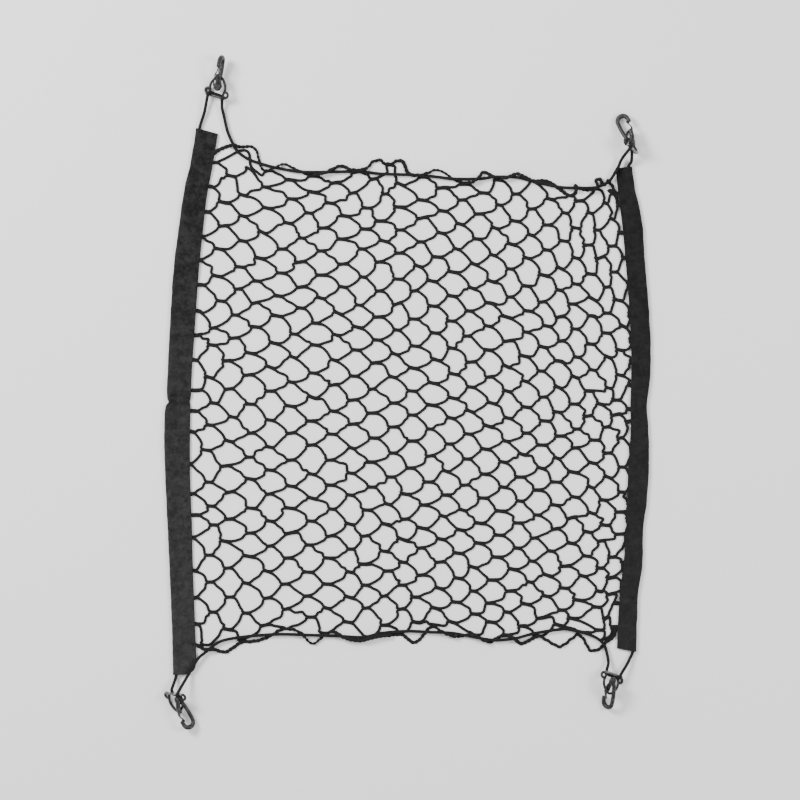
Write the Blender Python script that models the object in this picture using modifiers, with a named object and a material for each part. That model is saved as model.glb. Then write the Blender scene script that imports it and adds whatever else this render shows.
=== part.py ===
"""Elastic cargo net lying flat on the floor, as it is made: a knotless net whose two long sides are
gathered into cloth sleeves, one elastic cord through the sleeves and along the top and bottom edges,
and at each corner a wire bail with a crossbar and a snap hook with a sprung wire gate.
X runs to the right, Y up the net, Z up from the floor. All sizes are in millimetres."""

import math
from collections import namedtuple

import bmesh
import bpy
from mathutils import Matrix, Vector

MM = 0.001

# Net, sleeve and cord
NET_THICK = 1.5
NET_LIFT = 1.3
NET_IN_SLEEVE = 11.0
NET_COLUMNS = 36
NET_ROWS = 12
CORD_RADIUS = 1.5
CORD_IN_SLEEVE = 2.8
CORD_FROM_EDGE = 4.6
SLEEVE_STATIONS = 30

# Bail and crossbar
BAIL_WIRE = 1.05
BAIL_LENGTH = 25.0
FOOT_X = 4.0
FOOT_Y = 12.9
FOOT_RADIUS = 3.4
FOOT_TURN = 262
BAR_RADIUS = 1.2
BAR_HALF = 14.0
BAR_X = -0.3
BAR_HEIGHT = 2.25

# Snap hook and its gate
KNOB_SIZE = (5.6, 3.6, 4.6)
TIP_X = 30.5
TIP_Y = 0.8
TIP_RADIUS = 7.0
PIN_RADIUS = 0.7
PIN_BORE = 1.05
PIN_REACH = 2.6
GATE_TIP_X = 26.8
GATE_TIP_Y = -3.3
GATE_BEND = 0.95

SleeveRow = namedtuple("SleeveRow", "outer_x outer_y inner_x inner_y")
SLEEVE_LEFT = (
    SleeveRow(-301.3, -361.0, -281.0, -360.3),
    SleeveRow(-301.6, -352.0, -271.9, -348.5),
    SleeveRow(-302.5, -308.0, -272.5, -308.0),
    SleeveRow(-305.8, -226.5, -275.6, -226.5),
    SleeveRow(-308.5, -168.5, -277.0, -168.5),
    SleeveRow(-311.2, -111.0, -279.1, -111.0),
    SleeveRow(-312.8, -58.5, -279.4, -59.5),
    SleeveRow(-311.5, -20.0, -278.8, -18.5),
    SleeveRow(-307.4, -11.0, -279.4, -11.0),
    SleeveRow(-309.2, -3.0, -278.2, -2.0),
    SleeveRow(-308.3, 28.0, -277.0, 28.0),
    SleeveRow(-305.0, 93.0, -272.6, 93.0),
    SleeveRow(-300.6, 161.0, -267.9, 158.5),
    SleeveRow(-293.0, 220.5, -262.1, 215.0),
    SleeveRow(-287.0, 261.5, -257.6, 253.5),
    SleeveRow(-278.2, 300.0, -250.5, 292.0),
    SleeveRow(-271.7, 341.0, -243.5, 333.5),
)
SLEEVE_RIGHT = (
    SleeveRow(293.6, -331.5, 268.8, -327.0),
    SleeveRow(294.5, -297.0, 269.9, -297.0),
    SleeveRow(296.2, -254.7, 272.4, -254.7),
    SleeveRow(301.6, -220.0, 277.0, -220.0),
    SleeveRow(302.5, -175.0, 280.4, -175.0),
    SleeveRow(307.3, -136.5, 281.7, -136.5),
    SleeveRow(310.0, -91.5, 283.5, -91.5),
    SleeveRow(309.3, -46.5, 286.3, -46.5),
    SleeveRow(307.3, -14.5, 285.9, -14.5),
    SleeveRow(311.2, 17.5, 286.8, 15.0),
    SleeveRow(312.2, 62.5, 286.8, 62.5),
    SleeveRow(309.0, 120.0, 284.0, 117.5),
    SleeveRow(304.8, 169.0, 280.1, 166.5),
    SleeveRow(301.0, 221.5, 275.6, 215.0),
    SleeveRow(292.7, 260.0, 270.5, 255.0),
    SleeveRow(288.0, 291.5, 267.0, 289.3),
)

# Sleeve cross-section, from the inner edge of the under layer, round the outer edge, to the inner
# edge of the upper layer and back inside. An inset is measured from the outer edge.
AT_INNER_EDGE = None
SectionPoint = namedtuple("SectionPoint", "inset height")
SLEEVE_SECTION = (
    SectionPoint(AT_INNER_EDGE, 0.0),
    SectionPoint(3.0, 0.0),
    SectionPoint(1.0, 0.5),
    SectionPoint(0.1, 2.0),
    SectionPoint(0.5, 3.9),
    SectionPoint(1.7, 5.2),
    SectionPoint(3.4, 5.6),
    SectionPoint(6.4, 5.6),
    SectionPoint(9.6, 4.9),
    SectionPoint(13.0, 4.2),
    SectionPoint(AT_INNER_EDGE, 4.1),
    SectionPoint(AT_INNER_EDGE, 3.1),
    SectionPoint(13.0, 3.2),
    SectionPoint(9.2, 3.9),
    SectionPoint(6.2, 4.6),
    SectionPoint(3.6, 4.6),
    SectionPoint(2.1, 4.1),
    SectionPoint(1.2, 3.2),
    SectionPoint(1.1, 2.1),
    SectionPoint(1.8, 1.3),
    SectionPoint(3.2, 1.0),
    SectionPoint(AT_INNER_EDGE, 1.0),
)

# Scalloped edges of the net, from inside the left sleeve to inside the right one
EdgePoint = namedtuple("EdgePoint", "x y")
NET_TOP = (
    EdgePoint(-268.0, 305.0),
    EdgePoint(-250.0, 308.0),
    EdgePoint(-227.0, 319.0),
    EdgePoint(-205.0, 319.0),
    EdgePoint(-194.5, 311.5),
    EdgePoint(-182.5, 286.0),
    EdgePoint(-158.5, 295.0),
    EdgePoint(-121.5, 280.0),
    EdgePoint(-85.5, 291.5),
    EdgePoint(-65.0, 286.0),
    EdgePoint(-38.0, 300.0),
    EdgePoint(-21.5, 295.0),
    EdgePoint(-7.0, 298.5),
    EdgePoint(1.0, 279.5),
    EdgePoint(21.0, 279.5),
    EdgePoint(34.0, 287.0),
    EdgePoint(77.5, 269.0),
    EdgePoint(98.0, 284.5),
    EdgePoint(123.5, 274.5),
    EdgePoint(139.0, 282.5),
    EdgePoint(179.0, 273.0),
    EdgePoint(210.0, 257.0),
    EdgePoint(244.0, 268.0),
    EdgePoint(257.0, 270.0),
    EdgePoint(270.0, 254.0),
    EdgePoint(284.0, 251.0),
)
NET_BOTTOM = (
    EdgePoint(-292.0, -321.0),
    EdgePoint(-272.0, -322.0),
    EdgePoint(-261.0, -332.0),
    EdgePoint(-255.0, -321.0),
    EdgePoint(-234.5, -332.0),
    EdgePoint(-214.0, -319.0),
    EdgePoint(-189.5, -316.5),
    EdgePoint(-157.5, -301.5),
    EdgePoint(-135.5, -307.5),
    EdgePoint(-121.5, -320.0),
    EdgePoint(-98.5, -303.5),
    EdgePoint(-61.0, -316.5),
    EdgePoint(-22.5, -309.5),
    EdgePoint(9.5, -319.0),
    EdgePoint(32.5, -298.5),
    EdgePoint(64.5, -312.5),
    EdgePoint(76.0, -308.5),
    EdgePoint(106.0, -319.0),
    EdgePoint(123.5, -308.5),
    EdgePoint(145.5, -321.0),
    EdgePoint(170.0, -310.0),
    EdgePoint(195.5, -324.5),
    EdgePoint(220.0, -308.5),
    EdgePoint(235.5, -331.0),
    EdgePoint(249.5, -326.5),
    EdgePoint(262.5, -314.0),
    EdgePoint(269.0, -300.0),
    EdgePoint(284.0, -299.0),
)

# Twelve large six-sided cells of the net: four columns by three rows
Cell = namedtuple("Cell", "x y half_width half_height half_bar lean")
CELLS = (
    Cell(-187.0, 190.5, 16.8, 14.2, 5.2, 1.0),
    Cell(-57.5, 167.0, 14.2, 15.9, 5.6, 0.0),
    Cell(64.0, 202.0, 16.1, 13.6, 5.6, 1.2),
    Cell(176.0, 167.0, 13.6, 12.9, 5.0, 1.6),
    Cell(-203.0, 5.5, 16.1, 16.1, 6.0, -2.0),
    Cell(-69.5, -24.0, 17.4, 13.6, 6.0, 0.0),
    Cell(59.5, 10.0, 16.8, 12.9, 5.8, 0.5),
    Cell(174.0, -19.5, 14.2, 13.2, 5.6, -2.0),
    Cell(-178.0, -212.5, 19.3, 14.2, 6.0, 1.2),
    Cell(-74.5, -184.0, 16.1, 14.2, 5.8, 0.0),
    Cell(66.5, -190.5, 16.1, 12.9, 6.0, 1.5),
    Cell(186.0, -189.0, 16.1, 12.9, 5.4, 1.2),
)

# Hardware at each corner. Headings are from +X, a pitch lifts the tip and a roll lifts the left side.
# The cord leaves a bail at its foot, or at the share cord_out of the way from the middle to it.
HookPlace = namedtuple("HookPlace", "tag knob_x knob_y knob_z heading pitch roll")
HOOKS = (
    HookPlace("tl", -243.6, 393.8, 9.4, 82.0, 11.2, -107.0),
    HookPlace("tr", 286.9, 322.8, 16.8, 110.9, -19.2, -10.9),
    HookPlace("bl", -294.3, -393.4, 10.9, -66.5, -4.5, -24.7),
    HookPlace("br", 262.0, -368.2, 20.4, -102.7, -26.0, 38.6),
)
BailPlace = namedtuple("BailPlace", "tag apex_x apex_y apex_z heading pitch roll cord_out")
BAILS = (
    BailPlace("tl", -240.5, 405.8, 12.0, 77.6, 12.7, -22.3, 1.0),
    BailPlace("tr", 285.1, 335.9, 5.3, 90.9, -25.6, 60.9, 0.6),
    BailPlace("bl", -294.5, -407.3, 4.1, -80.2, -19.0, 37.9, 0.5),
    BailPlace("br", 257.7, -383.7, 16.0, -101.9, 17.5, -29.1, 1.0),
)

# Hook wire from inside the knob along the long side, and the short stub on the other side
WirePoint = namedtuple("WirePoint", "x y z radius")
LONG_SIDE = (
    WirePoint(0.8, 0.9, 0.0, 2.1),
    WirePoint(4.5, 3.9, 0.0, 2.1),
    WirePoint(9.0, 5.3, 0.0, 2.1),
    WirePoint(15.0, 6.5, 0.0, 2.1),
    WirePoint(23.0, 7.5, 0.0, 2.2),
)
NOSE_END = WirePoint(26.6, -6.7, 0.0, 2.15)
STUB = (
    WirePoint(0.6, -0.8, 0.0, 2.1),
    WirePoint(4.5, -2.5, 0.0, 2.25),
    WirePoint(9.0, -3.3, 0.0, 2.3),
    WirePoint(15.8, -4.3, 0.0, 2.3),
)
GATE_LEG = (
    WirePoint(0.0, 0.0, PIN_REACH, PIN_RADIUS),
    WirePoint(0.0, 0.0, 4.9, PIN_RADIUS),
    WirePoint(0.25, -0.15, 5.4, PIN_RADIUS),
    WirePoint(0.9, -0.5, 5.6, PIN_RADIUS),
    WirePoint(3.0, -1.7, 5.3, PIN_RADIUS),
    WirePoint(6.5, -3.5, 4.6, PIN_RADIUS),
    WirePoint(11.5, -4.9, 3.8, PIN_RADIUS),
    WirePoint(15.5, -6.0, 3.2, PIN_RADIUS),
    WirePoint(17.2, -6.6, 2.4, PIN_RADIUS),
    WirePoint(18.8, -6.6, 1.4, PIN_RADIUS),
    WirePoint(20.8, -6.0, 1.0, PIN_RADIUS),
    WirePoint(23.5, -4.7, 0.95, PIN_RADIUS),
)
BAIL_SIDE = (
    EdgePoint(8.0, 10.6),
    EdgePoint(12.0, 10.8),
    EdgePoint(15.5, 10.0),
    EdgePoint(19.0, 8.0),
    EdgePoint(22.3, 5.4),
    EdgePoint(24.3, 2.8),
)

# Cord through a bail: in over the crossbar on one side, along its inside, and out under it
THROUGH_BAIL = (
    Vector((-3.0, 9.3, 5.2)),
    Vector((0.4, 8.9, 5.4)),
    Vector((2.4, 8.1, 4.2)),
    Vector((3.0, 6.9, 2.3)),
    Vector((2.5, 5.2, 0.6)),
    Vector((2.0, 2.5, 0.0)),
    Vector((2.0, -2.5, -0.1)),
    Vector((1.7, -5.4, -0.45)),
    Vector((0.7, -7.2, -0.85)),
    Vector((-1.4, -8.4, -1.0)),
    Vector((-4.5, -9.2, -1.1)),
)

# The cord between a sleeve and a bail, and along the top and bottom edges of the net
CordPoint = namedtuple("CordPoint", "x y z")
LEFT_SLEEVE_TO_TL = (
    CordPoint(-264.0, 351.0, 3.6),
    CordPoint(-260.5, 362.0, 5.2),
)
TR_TO_RIGHT_SLEEVE = (
    CordPoint(286.8, 297.5, 6.5),
)
RIGHT_SLEEVE_TO_BR = (
    CordPoint(285.0, -340.0, 4.2),
    CordPoint(281.5, -347.0, 6.2),
)
BL_TO_LEFT_SLEEVE = (
    CordPoint(-298.6, -368.0, 6.0),
)
TOP_RUN = (
    CordPoint(-238.0, 366.0, 5.0),
    CordPoint(-235.8, 356.5, 3.6),
    CordPoint(-231.3, 337.0, 3.3),
    CordPoint(-224.2, 320.5, 3.3),
    CordPoint(-217.8, 310.2, 3.3),
    CordPoint(-207.5, 302.5, 3.3),
    CordPoint(-197.3, 298.0, 3.3),
    CordPoint(-183.0, 293.5, 3.3),
    CordPoint(-167.7, 289.7, 3.3),
    CordPoint(-135.6, 284.5, 3.3),
    CordPoint(-95.8, 284.5, 3.3),
    CordPoint(-60.0, 285.0, 3.3),
    CordPoint(-34.2, 282.0, 3.3),
    CordPoint(5.6, 280.7, 3.3),
    CordPoint(37.7, 278.1, 3.3),
    CordPoint(58.3, 275.6, 3.3),
    CordPoint(93.0, 275.6, 3.3),
    CordPoint(111.0, 278.1, 3.3),
    CordPoint(140.5, 277.4, 3.3),
    CordPoint(158.5, 273.0, 3.3),
    CordPoint(193.0, 265.3, 3.3),
    CordPoint(215.0, 264.0, 3.3),
    CordPoint(241.3, 264.6, 3.3),
    CordPoint(257.3, 271.7, 3.3),
    CordPoint(262.6, 277.6, 5.4),
    CordPoint(266.6, 284.6, 6.6),
    CordPoint(270.6, 291.5, 7.2),
    CordPoint(275.0, 301.5, 8.4),
)
BOTTOM_RUN = (
    CordPoint(257.5, -344.0, 5.5),
    CordPoint(254.5, -328.5, 3.6),
    CordPoint(251.5, -322.0, 3.3),
    CordPoint(243.2, -313.8, 3.3),
    CordPoint(227.7, -307.4, 3.3),
    CordPoint(211.0, -303.5, 3.3),
    CordPoint(198.2, -302.2, 3.3),
    CordPoint(163.5, -307.4, 3.3),
    CordPoint(139.1, -313.8, 3.3),
    CordPoint(114.7, -316.4, 3.3),
    CordPoint(92.9, -313.8, 3.3),
    CordPoint(58.3, -307.4, 3.3),
    CordPoint(31.3, -306.1, 3.3),
    CordPoint(-0.8, -304.8, 3.3),
    CordPoint(-34.2, -307.4, 3.3),
    CordPoint(-56.0, -312.5, 3.3),
    CordPoint(-86.8, -311.2, 3.3),
    CordPoint(-121.5, -309.9, 3.3),
    CordPoint(-161.3, -308.7, 3.3),
    CordPoint(-187.0, -309.9, 3.3),
    CordPoint(-214.0, -312.5, 3.3),
    CordPoint(-235.8, -316.4, 3.3),
    CordPoint(-247.3, -322.1, 3.3),
    CordPoint(-260.8, -333.0, 4.4),
    CordPoint(-268.0, -339.0, 6.1),
    CordPoint(-275.5, -350.0, 6.4),
    CordPoint(-281.5, -361.0, 7.0),
)


def clear_scene():
    for old in list(bpy.data.objects):
        bpy.data.objects.remove(old, do_unlink=True)


def new_collection(name):
    made = bpy.data.collections.new(name)
    bpy.context.scene.collection.children.link(made)
    return made


def new_material(name, colour, roughness, metallic):
    made = bpy.data.materials.new(name)
    made.use_nodes = True
    surface = made.node_tree.nodes["Principled BSDF"]
    surface.inputs["Base Color"].default_value = (*colour, 1.0)
    surface.inputs["Roughness"].default_value = roughness
    surface.inputs["Metallic"].default_value = metallic
    return made


def smooth_path(points, steps, closed=False):
    """A soft line through the points, with the given number of steps between two of them."""
    found = []
    count = len(points)
    last = count if closed else count - 1
    for index in range(last):
        a = points[index - 1] if closed or index > 0 else points[index]
        b = points[index]
        c = points[(index + 1) % count]
        d = points[(index + 2) % count] if closed or index + 2 < count else c
        for step in range(steps):
            t = step / steps
            ahead = (c - a) * 0.5
            after = (d - b) * 0.5
            curve = b * (2 * t**3 - 3 * t**2 + 1) + c * (3 * t**2 - 2 * t**3)
            found.append(curve + ahead * (t**3 - 2 * t**2 + t) + after * (t**3 - t**2))
    if not closed:
        found.append(points[-1])
    return found


def frame_at(origin, heading, pitch, roll):
    turn = Matrix.Rotation(math.radians(heading), 4, "Z")
    turn = turn @ Matrix.Rotation(math.radians(-pitch), 4, "Y")
    turn = turn @ Matrix.Rotation(math.radians(roll), 4, "X")
    return Matrix.Translation(origin) @ turn


def hook_frame(place):
    """X runs from the knob to the tip, and the long side of the hook is on +Y."""
    knob = Vector((place.knob_x, place.knob_y, place.knob_z))
    return frame_at(knob, place.heading, place.pitch, place.roll)


def bail_frame(place):
    """X runs from the crossbar to the apex, whose wire passes through the hook."""
    apex = Vector((place.apex_x, place.apex_y, place.apex_z))
    turn = frame_at(Vector(), place.heading, place.pitch, place.roll)
    return Matrix.Translation(apex - turn @ Vector((BAIL_LENGTH, 0.0, 0.0))) @ turn


def in_metres(frame):
    return Matrix.Translation(frame.to_translation() * MM) @ frame.to_3x3().to_4x4()


def wire_curve(name, points, radii, sides, closed=False):
    """A round wire through the points, one radius for each."""
    curve = bpy.data.curves.new(name, "CURVE")
    curve.dimensions = "3D"
    curve.bevel_depth = MM
    curve.bevel_resolution = (sides - 4) // 2
    curve.use_fill_caps = True
    spline = curve.splines.new("POLY")
    spline.points.add(len(points) - 1)
    for point, place, radius in zip(spline.points, points, radii):
        point.co = (*(Vector(place) * MM), 1.0)
        point.radius = radius
    spline.use_cyclic_u = closed
    return curve


def add_part(name, data, material, frame=None):
    made = bpy.data.objects.new(name, data)
    data.materials.append(material)
    parts.objects.link(made)
    if frame is not None:
        made.matrix_world = in_metres(frame)
    return made


def curve_mesh(name, curve):
    """The curve as a closed mesh whose caps are joined to its sides."""
    holder = bpy.data.objects.new(name, curve)
    parts.objects.link(holder)
    bpy.context.view_layer.update()
    graph = bpy.context.evaluated_depsgraph_get()
    mesh = bpy.data.meshes.new_from_object(holder.evaluated_get(graph))
    bpy.data.objects.remove(holder, do_unlink=True)
    work = bmesh.new()
    work.from_mesh(mesh)
    bmesh.ops.remove_doubles(work, verts=work.verts, dist=0.000005)
    bmesh.ops.recalc_face_normals(work, faces=work.faces)
    work.to_mesh(mesh)
    work.free()
    return mesh


def hidden_tool(name, mesh, frame=None):
    tool = bpy.data.objects.new(name, mesh)
    tools.objects.link(tool)
    tool.hide_render = True
    tool.display_type = "WIRE"
    if frame is not None:
        tool.matrix_world = in_metres(frame)
    return tool


def combine(part, tool, operation):
    change = part.modifiers.new(operation.title(), "BOOLEAN")
    change.operation = operation
    change.solver = "EXACT"
    change.object = tool


def sleeve_point(rows, along):
    """Outer and inner edge points of a sleeve, with along from 0 at the bottom to 1 at the top."""
    outer = smooth_path([Vector((row.outer_x, row.outer_y)) for row in rows], 8)
    inner = smooth_path([Vector((row.inner_x, row.inner_y)) for row in rows], 8)
    place = along * (len(outer) - 1)
    index = min(int(place), len(outer) - 2)
    part = place - index
    return outer[index].lerp(outer[index + 1], part), inner[index].lerp(inner[index + 1], part)


def sleeve_at_height(rows, height):
    """Outer and inner edge x of a sleeve at one y."""
    for step in range(400):
        outer, inner = sleeve_point(rows, step / 400)
        if outer.y >= height:
            return outer.x, inner.x
    outer, inner = sleeve_point(rows, 1.0)
    return outer.x, inner.x


def make_sleeve(name, rows, material):
    """A strip of cloth folded round the cord and the side of the net."""
    work = bmesh.new()
    rings = []
    for station in range(SLEEVE_STATIONS):
        outer, inner = sleeve_point(rows, station / (SLEEVE_STATIONS - 1))
        across = inner - outer
        width = across.length
        across.normalize()
        ring = []
        for point in SLEEVE_SECTION:
            inset = width if point.inset is AT_INNER_EDGE else point.inset
            place = outer + across * inset
            ring.append(work.verts.new((place.x * MM, place.y * MM, point.height * MM)))
        rings.append(ring)
    count = len(SLEEVE_SECTION)
    for ring, following in zip(rings, rings[1:]):
        for index in range(count):
            after = (index + 1) % count
            work.faces.new((ring[index], ring[after], following[after], following[index]))
    for ring in (rings[0], rings[-1]):
        for index in range(count // 2 - 1):
            back = count - 1 - index
            work.faces.new((ring[index], ring[index + 1], ring[back - 1], ring[back]))
    bmesh.ops.recalc_face_normals(work, faces=work.faces)
    mesh = bpy.data.meshes.new(name)
    work.to_mesh(mesh)
    work.free()
    return add_part(name, mesh, material)


def edge_height(points, x):
    for low, high in zip(points, points[1:]):
        if x <= high.x:
            return low.y + (high.y - low.y) * (x - low.x) / (high.x - low.x)
    return points[-1].y


def net_row(v):
    """The x of every column of the net, and its lift, at v from 0 at the bottom to 1 at the top."""
    left_outer, left_inner = sleeve_at_height(SLEEVE_LEFT, -322.0 + 627.0 * v)
    right_outer, right_inner = sleeve_at_height(SLEEVE_RIGHT, -300.0 + 551.0 * v)
    start = left_inner + 17.0
    end = right_inner - 17.0
    middle = [start + (end - start) * i / (NET_COLUMNS - 1) for i in range(NET_COLUMNS)]
    columns = [left_outer + NET_IN_SLEEVE, left_inner + 2.0, left_inner + 9.0]
    columns += middle
    columns += [right_inner - 9.0, right_inner - 2.0, right_outer - NET_IN_SLEEVE]
    lifts = [NET_LIFT, NET_LIFT, NET_LIFT * 0.5] + [0.0] * NET_COLUMNS
    lifts += [NET_LIFT * 0.5, NET_LIFT, NET_LIFT]
    return zip(columns, lifts)


def make_net(material):
    """The net as one thin sheet with its scalloped edges and its twelve largest cells open."""
    work = bmesh.new()
    grid = []
    for row in range(NET_ROWS + 1):
        v = row / NET_ROWS
        line = []
        for x, lift in net_row(v):
            y = edge_height(NET_BOTTOM, x) * (1 - v) + edge_height(NET_TOP, x) * v
            line.append(work.verts.new((x * MM, y * MM, lift * MM)))
        grid.append(line)
    for low, high in zip(grid, grid[1:]):
        for i in range(len(low) - 1):
            work.faces.new((low[i], low[i + 1], high[i + 1], high[i]))
    mesh = bpy.data.meshes.new("net")
    work.to_mesh(mesh)
    work.free()
    net = add_part("net", mesh, material)
    sheet = net.modifiers.new("Thickness", "SOLIDIFY")
    sheet.thickness = NET_THICK * MM
    sheet.offset = 1.0
    combine(net, cell_cutter(), "DIFFERENCE")
    return net


def cell_cutter():
    work = bmesh.new()
    for cell in CELLS:
        corners = (
            (cell.x + cell.half_width, cell.y),
            (cell.x + cell.half_bar + cell.lean, cell.y + cell.half_height),
            (cell.x - cell.half_bar + cell.lean, cell.y + cell.half_height),
            (cell.x - cell.half_width, cell.y),
            (cell.x - cell.half_bar - cell.lean, cell.y - cell.half_height),
            (cell.x + cell.half_bar - cell.lean, cell.y - cell.half_height),
        )
        low = [work.verts.new((x * MM, y * MM, -0.003)) for x, y in corners]
        face = work.faces.new(low)
        raised = bmesh.ops.extrude_face_region(work, geom=[face])["geom"]
        tops = [item for item in raised if isinstance(item, bmesh.types.BMVert)]
        bmesh.ops.translate(work, verts=tops, vec=(0.0, 0.0, 0.008))
    bmesh.ops.recalc_face_normals(work, faces=work.faces)
    mesh = bpy.data.meshes.new("cell_cutter")
    work.to_mesh(mesh)
    work.free()
    return hidden_tool("cell_cutter", mesh)


def sleeve_cord(rows, upwards):
    """The cord's line inside a sleeve, near the folded edge and through the same sections."""
    found = []
    for station in range(SLEEVE_STATIONS):
        outer, inner = sleeve_point(rows, station / (SLEEVE_STATIONS - 1))
        place = outer + (inner - outer).normalized() * CORD_FROM_EDGE
        found.append(Vector((place.x, place.y, CORD_IN_SLEEVE)))
    return found if upwards else found[::-1]


def bail_cord(place):
    """The cord through one bail. It leaves at the foot, or at a share of the way out to it."""
    frame = bail_frame(place)
    found = []
    for x, y, z in THROUGH_BAIL:
        found.append(frame @ Vector((x, y if y > 0.0 else y * place.cord_out, z)))
    return found


def make_cord(material):
    """One closed elastic cord: up the left sleeve, along the top, down the right sleeve and back."""
    tl, tr, bl, br = BAILS
    line = sleeve_cord(SLEEVE_LEFT, True)
    line += [Vector(point) for point in LEFT_SLEEVE_TO_TL]
    line += bail_cord(tl)
    line += [Vector(point) for point in TOP_RUN]
    line += bail_cord(tr)
    line += [Vector(point) for point in TR_TO_RIGHT_SLEEVE]
    line += sleeve_cord(SLEEVE_RIGHT, False)
    line += [Vector(point) for point in RIGHT_SLEEVE_TO_BR]
    line += bail_cord(br)
    line += [Vector(point) for point in BOTTOM_RUN]
    line += bail_cord(bl)
    line += [Vector(point) for point in BL_TO_LEFT_SLEEVE]
    radii = [CORD_RADIUS] * len(line)
    return add_part("cord", wire_curve("cord", line, radii, 8, closed=True), material)


def make_bail(place, material):
    """A wire bent to a rounded triangle, its two feet curled outwards into eyes."""
    half = [Vector((p.x, p.y, 0.0)) for p in BAIL_SIDE]
    foot = []
    steps = 9
    for step in range(steps + 1):
        turn = math.radians(-90.0 - FOOT_TURN * step / steps)
        x = FOOT_X + FOOT_RADIUS * math.cos(turn)
        y = FOOT_Y + FOOT_RADIUS * math.sin(turn)
        foot.append(Vector((x, y, 0.0)))
    left = foot[::-1] + half
    right = [Vector((p.x, -p.y, 0.0)) for p in left[::-1]]
    line = left + [Vector((BAIL_LENGTH, 0.0, 0.0))] + right
    name = "bail_" + place.tag
    curve = wire_curve(name, line, [BAIL_WIRE] * len(line), 8)
    return add_part(name, curve, material, bail_frame(place))


def make_crossbar(place, material):
    """A straight rod laid across both feet of the bail, held down by the cord."""
    ends = [Vector((BAR_X, -BAR_HALF, BAR_HEIGHT)), Vector((BAR_X, BAR_HALF, BAR_HEIGHT))]
    name = "crossbar_" + place.tag
    curve = wire_curve(name, ends, [BAR_RADIUS] * 2, 10)
    return add_part(name, curve, material, bail_frame(place))


def make_hook(place, material):
    """A snap hook bent from one wire, with both ends of the wire set in a solid knob."""
    name = "hook_" + place.tag
    points = list(LONG_SIDE)
    for step in range(11):
        turn = math.radians(90 - 180 * step / 10)
        x = TIP_X + TIP_RADIUS * math.cos(turn)
        y = TIP_Y + TIP_RADIUS * math.sin(turn)
        points.append(WirePoint(x, y, 0.0, 2.15 + 0.45 * math.cos(turn)))
    points.append(NOSE_END)
    places = [Vector((p.x, p.y, p.z)) for p in points]
    long_side = curve_mesh(name, wire_curve(name, places, [p.radius for p in points], 8))
    hook = add_part(name, long_side, material, hook_frame(place))

    places = [Vector((p.x, p.y, p.z)) for p in STUB]
    stub = curve_mesh("stub", wire_curve("stub", places, [p.radius for p in STUB], 8))
    combine(hook, hidden_tool("stub_" + place.tag, stub, hook_frame(place)), "UNION")

    work = bmesh.new()
    bmesh.ops.create_uvsphere(work, u_segments=12, v_segments=8, radius=MM)
    bmesh.ops.scale(work, vec=KNOB_SIZE, verts=work.verts)
    knob = bpy.data.meshes.new("knob")
    work.to_mesh(knob)
    work.free()
    combine(hook, hidden_tool("knob_" + place.tag, knob, hook_frame(place)), "UNION")

    work = bmesh.new()
    depth = (KNOB_SIZE[2] + 1.0 - PIN_REACH + 0.3) * MM
    for side in (1.0, -1.0):
        centre = Matrix.Translation((0.0, 0.0, side * ((PIN_REACH - 0.3) * MM + depth / 2)))
        bmesh.ops.create_cone(
            work,
            cap_ends=True,
            segments=10,
            radius1=PIN_BORE * MM,
            radius2=PIN_BORE * MM,
            depth=depth,
            matrix=centre,
        )
    bores = bpy.data.meshes.new("bores")
    work.to_mesh(bores)
    work.free()
    combine(hook, hidden_tool("bores_" + place.tag, bores, hook_frame(place)), "DIFFERENCE")
    return hook


def make_gate(place, material):
    """A hairpin of spring wire, its two ends turned into the sides of the knob."""
    line = [Vector((p.x, p.y, p.z)) for p in GATE_LEG]
    for step in range(7):
        turn = math.radians(90 - 30 * step)
        x = GATE_TIP_X + GATE_BEND * math.cos(turn)
        line.append(Vector((x, GATE_TIP_Y, GATE_BEND * math.sin(turn))))
    line += [Vector((p.x, p.y, -p.z)) for p in GATE_LEG[::-1]]
    name = "gate_" + place.tag
    curve = wire_curve(name, line, [PIN_RADIUS] * len(line), 6)
    return add_part(name, curve, material, hook_frame(place))


clear_scene()
parts = new_collection("cargo_net")
tools = new_collection("tools")

net_yarn = new_material("net_yarn", (0.028, 0.028, 0.03), 0.85, 0.0)
sleeve_left_cloth = new_material("sleeve_left_cloth", (0.036, 0.036, 0.038), 0.88, 0.0)
sleeve_right_cloth = new_material("sleeve_right_cloth", (0.024, 0.024, 0.025), 0.85, 0.0)
cord_cover = new_material("cord_cover", (0.022, 0.022, 0.024), 0.8, 0.0)

make_net(net_yarn)
make_sleeve("sleeve_left", SLEEVE_LEFT, sleeve_left_cloth)
make_sleeve("sleeve_right", SLEEVE_RIGHT, sleeve_right_cloth)
make_cord(cord_cover)

for bail in BAILS:
    bail_finish = new_material("bail_finish_" + bail.tag, (0.035, 0.035, 0.038), 0.4, 0.6)
    bar_finish = new_material("bar_finish_" + bail.tag, (0.45, 0.45, 0.46), 0.35, 1.0)
    make_bail(bail, bail_finish)
    make_crossbar(bail, bar_finish)

for hook in HOOKS:
    hook_finish = new_material("hook_finish_" + hook.tag, (0.03, 0.03, 0.033), 0.38, 0.4)
    gate_finish = new_material("gate_finish_" + hook.tag, (0.3, 0.3, 0.31), 0.35, 1.0)
    make_hook(hook, hook_finish)
    make_gate(hook, gate_finish)
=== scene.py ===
"""Elastic cargo net lying flat on a pale floor, seen from straight above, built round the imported
CAD part: the knitted net, its two cloth sleeves, the elastic cord and four snap hooks on wire bails.
X runs to the right, Y up the net, Z up from the floor. Sizes are in millimetres unless named."""

import math
import random
from collections import namedtuple

import bpy
import numpy as np
from mathutils import Matrix, Vector


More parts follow.
